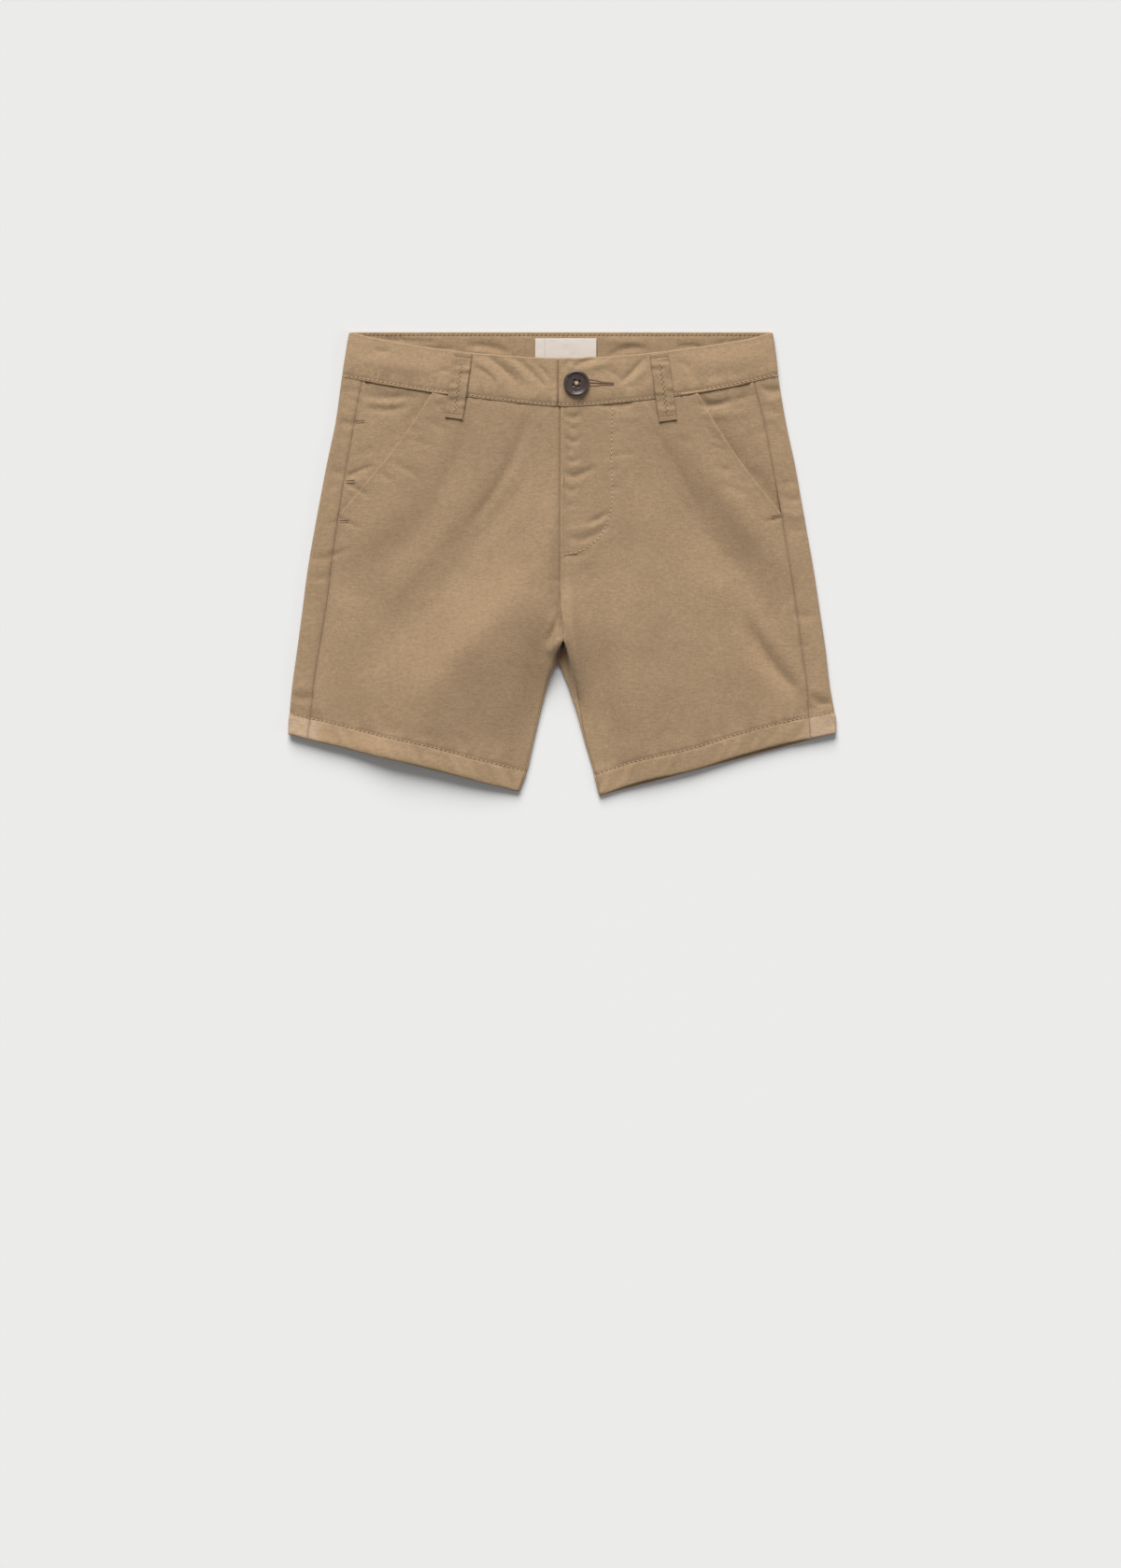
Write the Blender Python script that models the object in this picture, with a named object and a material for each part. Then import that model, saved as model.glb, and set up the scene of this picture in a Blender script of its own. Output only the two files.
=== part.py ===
"""Child's chino bermuda shorts lying flat on their back, front up, waist towards +Y.

Every piece of cloth is a wall that follows one shape: the back lies flat on the surface, turns
up and over round the side folds and the inner leg folds, and the front arches over it. +X is the
wearer's left. The tables and sizes are in millimetres and the meshes in metres.
"""
import math
from collections import namedtuple

import bmesh
import bpy
import numpy as np

MM = 0.001

# Walls and clearances
TWILL_WALL = 1.2
HEM_WALL = 2.0
BAND_WALL = 2.0
LOOP_WALL = 1.3
LABEL_WALL = 1.0
SEAM_GAP = 0.3          # between pieces that meet edge to edge
INSEAM_GAP = 0.4        # where the seam runs on a round fold
LAP_GAP = 0.4           # between pieces that lie on each other
HALF_GAP = SEAM_GAP / 2
INSEAM_HALF_GAP = INSEAM_GAP / 2

# The lying form
FOLD_REACH = 2.3        # how far a round fold bulges past its flat part
EDGE_HEIGHT = 5.2       # upper face just inside a fold
BAND_STEP = BAND_WALL - TWILL_WALL
HEM_DEPTH = 13.0
HEM_STEP = 1.5          # over this the doubled hem thins to the single wall
FRONT_LENGTH = 215.0    # waistband seam to hem
BACK_LENGTH = 209.0
BACK_CROTCH_SHARE = 0.7
BACK_TOP = 136.4        # upper edge of the waistband at the back
BACK_SEAM = 109.5       # lower edge of the waistband at the back
BAND_FOLD_TOP = 136.0   # where the waistband's top meets its side folds
HEM_FOLD_Y = -101.0     # where the hem meets the side folds
SEAM_TOP_Y = 107.0      # side seam at the waistband and at the hem
SEAM_LOW_Y = -102.0
CROTCH_BLEND = (-75.0, -25.0)   # where one wide hip arch becomes two leg arches
HIP_FULLNESS = 2.6      # exponents of the arches: how square the hip is, how flat the leg
LEG_FULLNESS = 0.9
FOLD_FADE = 0.7         # how soon a soft fold fades towards its ends
SHARP_EDGE = math.radians(50)

# Fly, waistband ends and pockets
FLY_EDGE = -1.1         # edge of the wearer's left front, lapped over the right
FLY_UNDERLAP = 9.0      # how far the right front runs under it
FLY_LAP_END = (-32.0, -18.0)
BAND_OVERLAP_EDGE = -2.2
BAND_UNDERLAP = 29.0
CENTRE_X = (-2.2, 0.8, FLY_EDGE)    # crotch fold, crotch point, fly
CENTRE_Y = (-59.4, -45.1, -25.0)
POCKET_LAP = 10.0       # facing hidden under the slant edge
POCKET_TAIL = 6.0       # facing below the pocket's lower end
POCKET_SINK = (2.0, 12.0)       # over this distance from its mouth the facing rises to the seam
FLY_SINK = (-6.0, -1.0)         # across this the right front sinks under the left
FLY_SINK_END = -44.0
BAND_SINK = (-8.0, -3.0)        # the same for the waistband's right end

LOOP_WIDTH = 10.8
LOOP_RISE = 0.5
LOOP_STEP = (-3.0, 0.5)         # over this below the waistband's seam a loop steps up on it

BUTTON_CENTRE = (8.25, 106.4)
BUTTON_RADIUS = 7.5
BUTTON_HEIGHT = 2.6
BUTTON_HOLE_RADIUS = 0.8
BUTTON_HOLE_SPREAD = 1.9
BUTTON_TURN = math.radians(30.0)
BUTTON_STEPS = 36
HOLE_STEPS = 12

LABEL_CENTRE_X = 2.0
LABEL_WIDTH = 36.0
LABEL_TOP = 132.5
LABEL_BOTTOM = 112.0

# Faces: rows and columns of the pieces
SLANT_ROWS = 8          # front, down the pocket mouth
SIDE_ROWS = 6           # front, from the pocket to the crotch
HIP_ROWS = 14           # back, down to the crotch
HEM_ROWS = 3            # front and back
FOLD_STEPS = 90         # points that trace an inner leg fold
BOW_STEPS = 40
SLANT_STEPS = 60
# Columns across the front; the last few follow the turned edge at the inseam
FRONT_COLUMNS = np.concatenate([np.linspace(0, 0.97, 19), [0.986, 0.994, 1.0]])
STRIP_COLUMNS = 4
FOLD_COLUMNS = 9
FLAT_COLUMNS = 4
INNER_COLUMNS = 7
INNER_ARC = 24          # points that trace the inner fold before they are spaced evenly
INNER_RUN = 12
FACING_ROWS = 12
FACING_COLUMNS = 7
BAND_ROWS = 5
BAND_COLUMNS = 17
BAND_BACK_COLUMNS = 9
LOOP_ROWS = 10
LOOP_COLUMNS = 4
LABEL_ROWS = 5
LABEL_COLUMNS = 7
# Rows down the leg, as shares of the inseam; the last three lie in the hem
LEG_PARTS = np.array([0, 0.05, 0.11, 0.18, 0.27, 0.38, 0.51, 0.64, 0.76, 0.845, 0.862, 0.93, 1.0])

KHAKI = (0.42, 0.29, 0.19)
DARK_BROWN = (0.045, 0.03, 0.03)
OFF_WHITE = (0.8, 0.77, 0.72)
TWILL_ROUGHNESS = 0.9
BUTTON_ROUGHNESS = 0.35

# Side folds and side seams, as x at each height y, and how far the front arches up there
Section = namedtuple("Section", "y right_fold right_seam left_seam left_fold arch")
SECTIONS = [
    Section(-101.0, -161.2, -149.5, 145.8, 161.2, 5.4),
    Section(-88.0, -160.5, -147.9, 144.8, 160.3, 5.2),
    Section(-75.0, -159.3, -146.6, 143.9, 157.8, 5.0),
    Section(-50.0, -156.0, -142.9, 140.7, 154.8, 4.6),
    Section(-25.0, -152.7, -138.7, 137.3, 151.1, 4.6),
    Section(2.0, -149.1, -135.4, 133.2, 146.9, 5.0),
    Section(28.0, -144.5, -131.7, 128.9, 142.3, 5.6),
    Section(57.0, -138.9, -127.0, 123.6, 137.0, 6.2),
    Section(84.0, -133.3, -122.1, 118.3, 131.3, 7.0),
    Section(109.5, -129.8, -117.3, 111.7, 127.1, 7.6),
    Section(136.0, -125.4, -110.0, 104.0, 123.8, 8.0),
]

# Front waistband edges; across runs from -1 at the right fold to 1 at the left fold
Waist = namedtuple("Waist", "across top seam")
WAIST = [
    Waist(-1.0, 136.0, 109.5),
    Waist(-0.94, 133.8, 108.0),
    Waist(-0.8, 130.1, 104.8),
    Waist(-0.6, 126.0, 100.3),
    Waist(-0.3, 121.9, 95.1),
    Waist(0.0, 120.1, 91.4),
    Waist(0.3, 121.8, 94.1),
    Waist(0.6, 126.0, 99.1),
    Waist(0.8, 129.8, 104.1),
    Waist(0.94, 133.3, 108.2),
    Waist(1.0, 135.8, 110.0),
]

# Hem edges; across runs from 0 at the side fold to 1 at the inner fold of the leg
Hem = namedtuple("Hem", "across right left")
HEM = [
    Hem(0.0, -100.7, -100.1),
    Hem(0.15, -105.2, -103.8),
    Hem(0.38, -113.3, -111.8),
    Hem(0.6, -120.2, -121.2),
    Hem(0.85, -129.2, -129.3),
    Hem(1.0, -134.2, -136.4),
]

# Inner leg: the fold, and the inseam that joins front and back beside it, from the crotch down
InnerLeg = namedtuple("InnerLeg", "fold_x fold_y seam_x seam_y")
INNER_RIGHT = [
    InnerLeg(-2.2, -59.4, 0.8, -45.1),
    InnerLeg(-3.9, -60.1, -3.3, -51.2),
    InnerLeg(-5.5, -62.0, -6.4, -57.9),
    InnerLeg(-6.8, -65.6, -8.0, -64.6),
    InnerLeg(-8.9, -72.0, -9.7, -71.7),
    InnerLeg(-13.2, -88.5, -14.0, -88.3),
    InnerLeg(-17.0, -105.0, -17.8, -104.8),
    InnerLeg(-20.9, -121.5, -21.7, -121.3),
    InnerLeg(-25.3, -134.2, -26.1, -133.9),
]
INNER_LEFT = [
    InnerLeg(-2.2, -59.4, 0.8, -45.1),
    InnerLeg(-0.9, -61.0, 3.0, -51.5),
    InnerLeg(0.3, -64.6, 5.2, -60.0),
    InnerLeg(3.3, -72.0, 7.9, -70.7),
    InnerLeg(6.1, -80.3, 9.4, -79.5),
    InnerLeg(8.8, -88.5, 11.0, -88.0),
    InnerLeg(11.0, -96.8, 12.2, -96.5),
    InnerLeg(13.2, -105.0, 14.1, -104.8),
    InnerLeg(18.1, -121.5, 18.9, -121.3),
    InnerLeg(21.5, -136.4, 22.3, -136.2),
]

# Slant pocket mouths, from the waistband down to the side seam
Slant = namedtuple("Slant", "right_x right_y left_x left_y")
SLANT = [
    Slant(-76.2, 100.0, 79.2, 100.0),
    Slant(-93.5, 74.2, 93.2, 76.7),
    Slant(-105.6, 58.8, 106.6, 57.2),
    Slant(-117.7, 44.6, 117.6, 43.2),
    Slant(-131.2, 28.0, 128.8, 28.9),
]

# Large soft folds of the front: three points, height at the middle and half width
Fold = namedtuple("Fold", "name start middle end height spread")
FOLDS = [
    Fold("right leg ridge", (-15, 46), (-62, -25), (-95, -80), 1.1, 18),
    Fold("right fly trough", (-22, 85), (-45, 35), (-73, 2), -1.2, 7),
    Fold("right hip trough", (-56, 82), (-76, 33), (-117, -9), -1.0, 9),
    Fold("right inner hem trough", (-62, -52), (-52, -85), (-38, -112), -1.2, 13),
    Fold("left hip trough", (54, 82), (86, 32), (134, -25), -1.5, 13),
    Fold("left thigh ridge", (78, 12), (96, -18), (112, -46), 0.8, 10),
    Fold("left side trough", (104, -32), (124, -60), (138, -74), -0.9, 6),
    Fold("left inner trough", (16, 0), (22, -50), (32, -108), -1.0, 9),
    Fold("crotch trough", (-4, -14), (-9, -36), (-16, -58), -0.9, 5),
]

# Half section of the button, as shares of its radius and height, from below round to the dish
Turned = namedtuple("Turned", "radius height")
BUTTON_PROFILE = [
    Turned(0.0, 0.0),
    Turned(0.7, 0.0),
    Turned(0.95, 0.3),
    Turned(1.0, 0.55),
    Turned(0.96, 0.9),
    Turned(0.88, 1.0),
    Turned(0.78, 0.95),
    Turned(0.68, 0.68),
    Turned(0.0, 0.62),
]

# Belt loop centre lines
BELT_LOOPS = {
    "belt_loop_right": ((-58.0, 123.2), (-63.6, 84.6)),
    "belt_loop_left": ((56.5, 122.9), (61.9, 83.2)),
}

Side = namedtuple("Side", "name sign fold seam hem inner slant_x slant_y")
SIDES = [
    Side("right", -1, "right_fold", "right_seam", "right", INNER_RIGHT, "right_x", "right_y"),
    Side("left", 1, "left_fold", "left_seam", "left", INNER_LEFT, "left_x", "left_y"),
]


# ---------------------------------------------------------------- curves

def smooth(at, values, where):
    """Cubic curve through values at the positions at, read at where."""
    at = np.asarray(at, float)
    values = np.asarray(values, float)
    slopes = np.gradient(values, at)
    where = np.asarray(where, float)
    i = np.clip(np.searchsorted(at, where) - 1, 0, len(at) - 2)
    step = at[i + 1] - at[i]
    t = np.clip((where - at[i]) / step, 0.0, 1.0)
    rise = (2 * t**3 - 3 * t**2 + 1) * values[i] + (3 * t**2 - 2 * t**3) * values[i + 1]
    bend = (t**3 - 2 * t**2 + t) * slopes[i] + (t**3 - t**2) * slopes[i + 1]
    return rise + step * bend


def column(rows, name):
    return [getattr(row, name) for row in rows]


def section(name, y):
    return smooth(column(SECTIONS, "y"), column(SECTIONS, name), y)


def waist(name, across):
    return smooth(column(WAIST, "across"), column(WAIST, name), across)


def inner_leg(side, name, part):
    """A column of the inner leg table; part runs from 0 at the crotch to 1 at the hem."""
    rows = side.inner
    seam = np.array([(row.seam_x, row.seam_y) for row in rows])
    run = np.concatenate([[0], np.cumsum(np.hypot(*np.diff(seam, axis=0).T))])
    return smooth(run / run[-1], column(rows, name), part)


def slant(side, part):
    """Point on the pocket mouth; part runs from 0 at the waistband to 1 at the side seam."""
    at = np.linspace(0, 1, len(SLANT))
    return (smooth(at, column(SLANT, side.slant_x), part),
            smooth(at, column(SLANT, side.slant_y), part))


def ramp(low, high, value):
    t = np.clip((np.asarray(value, float) - low) / (high - low), 0.0, 1.0)
    return t * t * (3 - 2 * t)


def distance_to(path, x, y):
    """Distance from each point to a chain of points, and how far along the nearest one lies."""
    px, py = path
    x = np.asarray(x, float)[..., None]
    y = np.asarray(y, float)[..., None]
    far = np.hypot(x - px, y - py)
    return far.min(axis=-1), far.argmin(axis=-1) / (len(px) - 1)


def bow(fold, steps=BOW_STEPS):
    """Chain of points along a fold's line."""
    t = np.linspace(0, 1, steps)[:, None]
    start, middle, end = (np.array(p, float) for p in (fold.start, fold.middle, fold.end))
    bend = 2 * middle - 0.5 * (start + end)
    points = (1 - t)**2 * start + 2 * t * (1 - t) * bend + t**2 * end
    return points[:, 0], points[:, 1]


# ---------------------------------------------------------------- the form

INNER_FOLDS = {
    side.name: (inner_leg(side, "fold_x", np.linspace(0, 1, FOLD_STEPS)),
                inner_leg(side, "fold_y", np.linspace(0, 1, FOLD_STEPS)))
    for side in SIDES
}


def centre_line(y):
    """The centre front: down the fly, to the crotch point, and on to the back's fold under it."""
    return np.interp(y, CENTRE_Y, CENTRE_X)


def inner_fold_x(side, y):
    x, fold_y = INNER_FOLDS[side.name]
    return np.where(y > fold_y[0], centre_line(y), np.interp(y, fold_y[::-1], x[::-1]))


def upper(x, y):
    """Height of the cloth's upper face over the surface, without the inner leg fold."""
    x, y = np.broadcast_arrays(np.asarray(x, float), np.asarray(y, float))
    arch = section("arch", y)
    hips = ramp(*CROTCH_BLEND, y)
    height = np.zeros(x.shape)
    centre = centre_line(y)
    for side in SIDES:
        mine = (x >= centre) == (side.sign > 0)
        fold = section(side.fold, y)
        wide = np.clip((x - centre) / (fold - centre), 0, 1)
        inner = inner_fold_x(side, y)
        leg = np.clip((x - inner) / (fold - inner), 0, 1)
        hip_arch = 1 - wide**HIP_FULLNESS
        leg_arch = (4 * leg * (1 - leg))**LEG_FULLNESS
        height += np.where(mine, hips * hip_arch + (1 - hips) * leg_arch, 0)
    level = EDGE_HEIGHT + arch * height
    for fold in FOLDS:
        far, along = distance_to(bow(fold), x, y)
        fade = np.sin(np.pi * along)**FOLD_FADE
        level = level + fold.height * np.exp(-(far / fold.spread)**2) * fade
    return level


def rounded(x, y):
    """The upper face with its edge turned down where it nears the inner leg fold."""
    level = upper(x, y)
    near = np.full(level.shape, np.inf)
    for path in INNER_FOLDS.values():
        near = np.minimum(near, distance_to(path, x, y)[0])
    turn = np.clip((FOLD_REACH - near) / FOLD_REACH, 0.0, 0.98)
    return level / 2 * (1 + np.sqrt(1 - turn**2))


def band_face(x, y):
    return upper(x, y) + BAND_STEP


def lowered_for_pocket(side):
    """The facing's face: the front's, sunk by one wall where the front laps over it."""
    edge = slant(side, np.linspace(0, 1, SLANT_STEPS))

    def face(x, y):
        far = distance_to(edge, x, y)[0]
        outside = (x - np.interp(y, edge[1][::-1], edge[0][::-1])) * side.sign > 0
        drop = 1 - ramp(*POCKET_SINK, np.where(outside & (y > edge[1][-1]), far, 0.0))
        return upper(x, y) - (TWILL_WALL + LAP_GAP) * drop
    return face


def right_front_face(x, y):
    """The right front sinks by one wall where the left front laps over it."""
    lap = ramp(*FLY_SINK, x - centre_line(y)) * ramp(FLY_SINK_END, FLY_LAP_END[0], y)
    return rounded(x, y) - (TWILL_WALL + LAP_GAP) * lap


def band_front_face(x, y, under):
    """The waistband's right end sinks by one wall under its left end."""
    lap = ramp(*BAND_SINK, x - BAND_OVERLAP_EDGE) if under else 0.0
    return band_face(x, y) - (BAND_WALL + LAP_GAP) * lap


def normals_of(face, x, y, step=0.05):
    slope_x = (face(x + step, y) - face(x - step, y)) / (2 * step)
    slope_y = (face(x, y + step) - face(x, y - step)) / (2 * step)
    n = np.stack([-slope_x, -slope_y, np.ones_like(slope_x)], axis=-1)
    return n / np.linalg.norm(n, axis=-1, keepdims=True)


def on_face(face, x, y):
    """Grid of points on a height function, with the normals there."""
    x, y = np.broadcast_arrays(np.asarray(x, float), np.asarray(y, float))
    return np.stack([x, y, face(x, y)], axis=-1), normals_of(face, x, y)


def on_floor(x, y):
    x, y = np.broadcast_arrays(np.asarray(x, float), np.asarray(y, float))
    points = np.stack([x, y, np.zeros(x.shape)], axis=-1)
    return points, np.broadcast_to([0.0, 0.0, -1.0], points.shape).copy()


def round_fold(edge, outward, height, angles):
    """Points round a fold: angle 0 is the flat lower face and pi the upper one."""
    half = height[..., None] / 2
    reach = FOLD_REACH * (np.sin(angles) - 1)
    xy = edge[..., None, :] + reach[..., None] * outward[..., None, :]
    z = half * (1 - np.cos(angles))
    lean = np.sin(angles) / FOLD_REACH
    rise = -np.cos(angles) / half
    n = np.concatenate([lean[..., None] * outward[..., None, :], rise[..., None]], axis=-1)
    n /= np.linalg.norm(n, axis=-1, keepdims=True)
    return np.concatenate([xy, z[..., None]], axis=-1), n


# ---------------------------------------------------------------- meshes

class Sheet:
    """The outer face of a piece as joined grids of points, with a normal and a wall at each."""

    def __init__(self):
        self.points, self.normals, self.walls, self.quads = [], [], [], []
        self.known = {}

    def corner(self, point, normal, wall):
        key = tuple(np.round(point, 4))
        if key not in self.known:
            self.known[key] = len(self.points)
            self.points.append(point)
            self.normals.append(normal)
            self.walls.append(wall)
        return self.known[key]

    def add(self, points, normals, walls, flip=False):
        rows, columns = points.shape[:2]
        walls = np.broadcast_to(walls, (rows, columns))
        index = [[self.corner(points[i, j], normals[i, j], walls[i, j]) for j in range(columns)]
                 for i in range(rows)]
        for i in range(rows - 1):
            for j in range(columns - 1):
                loop = [index[i][j], index[i + 1][j], index[i + 1][j + 1], index[i][j + 1]]
                loop = [v for k, v in enumerate(loop) if v not in loop[:k]]
                self.quads.append(loop[::-1] if flip else loop)

    def solid(self, name, material):
        outer = np.array(self.points)
        inner = outer - np.array(self.normals) * np.array(self.walls)[:, None]
        count = len(outer)
        faces = [tuple(q) for q in self.quads]
        faces += [tuple(v + count for v in reversed(q)) for q in self.quads]
        sides = {(q[k], q[(k + 1) % len(q)]) for q in self.quads for k in range(len(q))}
        faces += [(b, a, a + count, b + count) for a, b in sides if (b, a) not in sides]
        return mesh_object(name, np.vstack([outer, inner]), faces, material)


def mesh_object(name, points, faces, material):
    mesh = bpy.data.meshes.new(name)
    mesh.from_pydata([tuple(p) for p in np.asarray(points) * MM], [], faces)
    mesh.validate()
    mesh.shade_smooth()
    mesh.set_sharp_from_angle(angle=SHARP_EDGE)
    mesh.materials.append(material)
    piece = bpy.data.objects.new(name, mesh)
    bpy.context.scene.collection.objects.link(piece)
    return piece


def patch(left, right, top, bottom, rows, columns):
    """Points of a plan between four edges; rows and columns run from 0 to 1."""
    v = np.asarray(rows)[:, None]
    u = np.asarray(columns)[None, :]
    grid = []
    for axis in (0, 1):
        a, b = left(v)[axis], right(v)[axis]
        across = (1 - u) * a + u * b
        top_bow = top(u)[axis] - ((1 - u) * top(0.0)[axis] + u * top(1.0)[axis])
        low_bow = bottom(u)[axis] - ((1 - u) * bottom(0.0)[axis] + u * bottom(1.0)[axis])
        grid.append(across + (1 - v) * top_bow + v * low_bow)
    return grid


# ---------------------------------------------------------------- edges in plan

def across_waist(x):
    """Position along the front waist seam for a given x."""
    folds = np.where(np.asarray(x) < 0, -section("right_fold", BACK_SEAM),
                     section("left_fold", BACK_SEAM))
    return x / folds


def seam_line(side, y, inset):
    """Side seam at y, moved by inset towards the fold when positive."""
    return section(side.seam, y) + side.sign * inset


def hem_line(side, across):
    """Point of the hem edge."""
    outer = section(side.fold, HEM_FOLD_Y)
    inner = side.inner[-1].fold_x
    y = smooth(column(HEM, "across"), column(HEM, side.hem), across)
    return outer + (inner - outer) * np.asarray(across), y


def hem_near(side, x):
    """Hem edge at x."""
    outer = section(side.fold, HEM_FOLD_Y)
    across = (x - outer) / (side.inner[-1].fold_x - outer)
    return x, hem_line(side, across)[1]


def shares_down_leg(crotch_share, length):
    """Shares of a panel's length for the rows of LEG_PARTS, with the hem at its real depth."""
    step = 1 - (HEM_DEPTH + HEM_STEP) / length
    above = LEG_PARTS[:-HEM_ROWS]
    leg = crotch_share + (step - crotch_share) * above / above[-1]
    hem = 1 - HEM_DEPTH / length
    return np.concatenate([leg, np.linspace(hem, 1.0, HEM_ROWS)])


def hem_walls(rows):
    """The wall at each row: doubled in the hem."""
    walls = np.full(len(rows), TWILL_WALL)
    walls[-HEM_ROWS:] = HEM_WALL
    return walls[:, None]


# ---------------------------------------------------------------- pieces

def front(side, material):
    """Front panel from the slant pocket and side seam to the centre front and inseam."""
    sign = side.sign
    slant_end = slant(side, 1.0)
    crotch = side.inner[0].seam_x, side.inner[0].seam_y
    hem_seam = hem_near(side, seam_line(side, SEAM_LOW_Y, -HALF_GAP))
    top_corner = slant(side, 0.0)
    top_y = float(waist("seam", across_waist(top_corner[0]))) - HALF_GAP
    slant_share = (top_y - slant_end[1]) / (top_y - hem_seam[1])
    lap = sign < 0

    centre_top = FLY_EDGE if not lap else FLY_EDGE + FLY_UNDERLAP
    centre_y = float(waist("seam", across_waist(centre_top))) - HALF_GAP
    hem_inner_y = float(inner_leg(side, "seam_y", 1.0))
    crotch_share = (centre_y - crotch[1]) / (centre_y - hem_inner_y)
    leg_rows = shares_down_leg(crotch_share, FRONT_LENGTH)

    def outer_edge(v):
        v = np.asarray(v, float)
        part = np.clip(v / slant_share, 0, 1)
        sx, sy = slant(side, part)
        y_low = slant_end[1] + (hem_seam[1] - slant_end[1]) * (v - slant_share) / (1 - slant_share)
        on_slant = v <= slant_share
        x = np.where(on_slant, sx, seam_line(side, y_low, -HALF_GAP))
        y = np.where(on_slant, np.minimum(sy, top_y), y_low)
        return x, y

    def inner_edge(v):
        v = np.asarray(v, float)
        y_high = centre_y + (crotch[1] - centre_y) * v / crotch_share
        shift = FLY_UNDERLAP * ramp(*FLY_LAP_END, y_high) if lap else 0.0
        gap = HALF_GAP * (1 - ramp(*FLY_LAP_END, y_high)) if lap else HALF_GAP
        x_high = centre_line(y_high) + shift + sign * gap
        part = np.interp(v, leg_rows, LEG_PARTS)
        x_low = inner_leg(side, "seam_x", part)
        y_low = inner_leg(side, "seam_y", part)
        out = np.stack([x_low - inner_leg(side, "fold_x", part),
                        y_low - inner_leg(side, "fold_y", part)])
        out = out / np.linalg.norm(out, axis=0)
        above = v < crotch_share - 1e-9
        corner = np.abs(v - crotch_share) <= 1e-9
        x = np.where(above, x_high, x_low + INSEAM_HALF_GAP * out[0])
        y = np.where(above, y_high, y_low + INSEAM_HALF_GAP * out[1])
        x = np.where(corner, crotch[0] + sign * HALF_GAP, x)
        y = np.where(corner, crotch[1] + HALF_GAP, y)
        return x, y

    def top_edge(u):
        x = top_corner[0] + (inner_edge(0.0)[0] - top_corner[0]) * np.asarray(u, float)
        return x, waist("seam", across_waist(x)) - HALF_GAP

    def bottom_edge(u):
        end = inner_edge(1.0)
        x = hem_seam[0] + (end[0] - hem_seam[0]) * np.asarray(u, float)
        bend = hem_near(side, x)[1]
        start_y, end_y = hem_near(side, hem_seam[0])[1], hem_near(side, end[0])[1]
        straight = start_y + (end_y - start_y) * np.asarray(u)
        return x, hem_seam[1] + (end[1] - hem_seam[1]) * np.asarray(u) + bend - straight

    rows = np.concatenate([
        np.linspace(0, slant_share, SLANT_ROWS + 1)[:-1],
        np.linspace(slant_share, crotch_share, SIDE_ROWS + 1)[:-1],
        leg_rows])
    x, y = patch(outer_edge, inner_edge, top_edge, bottom_edge, rows, FRONT_COLUMNS)
    face = right_front_face if lap else rounded
    sheet = Sheet()
    points, normals = on_face(face, x, y)
    sheet.add(points, normals, hem_walls(rows), flip=sign > 0)
    return sheet.solid(f"front_{side.name}", material)


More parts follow.
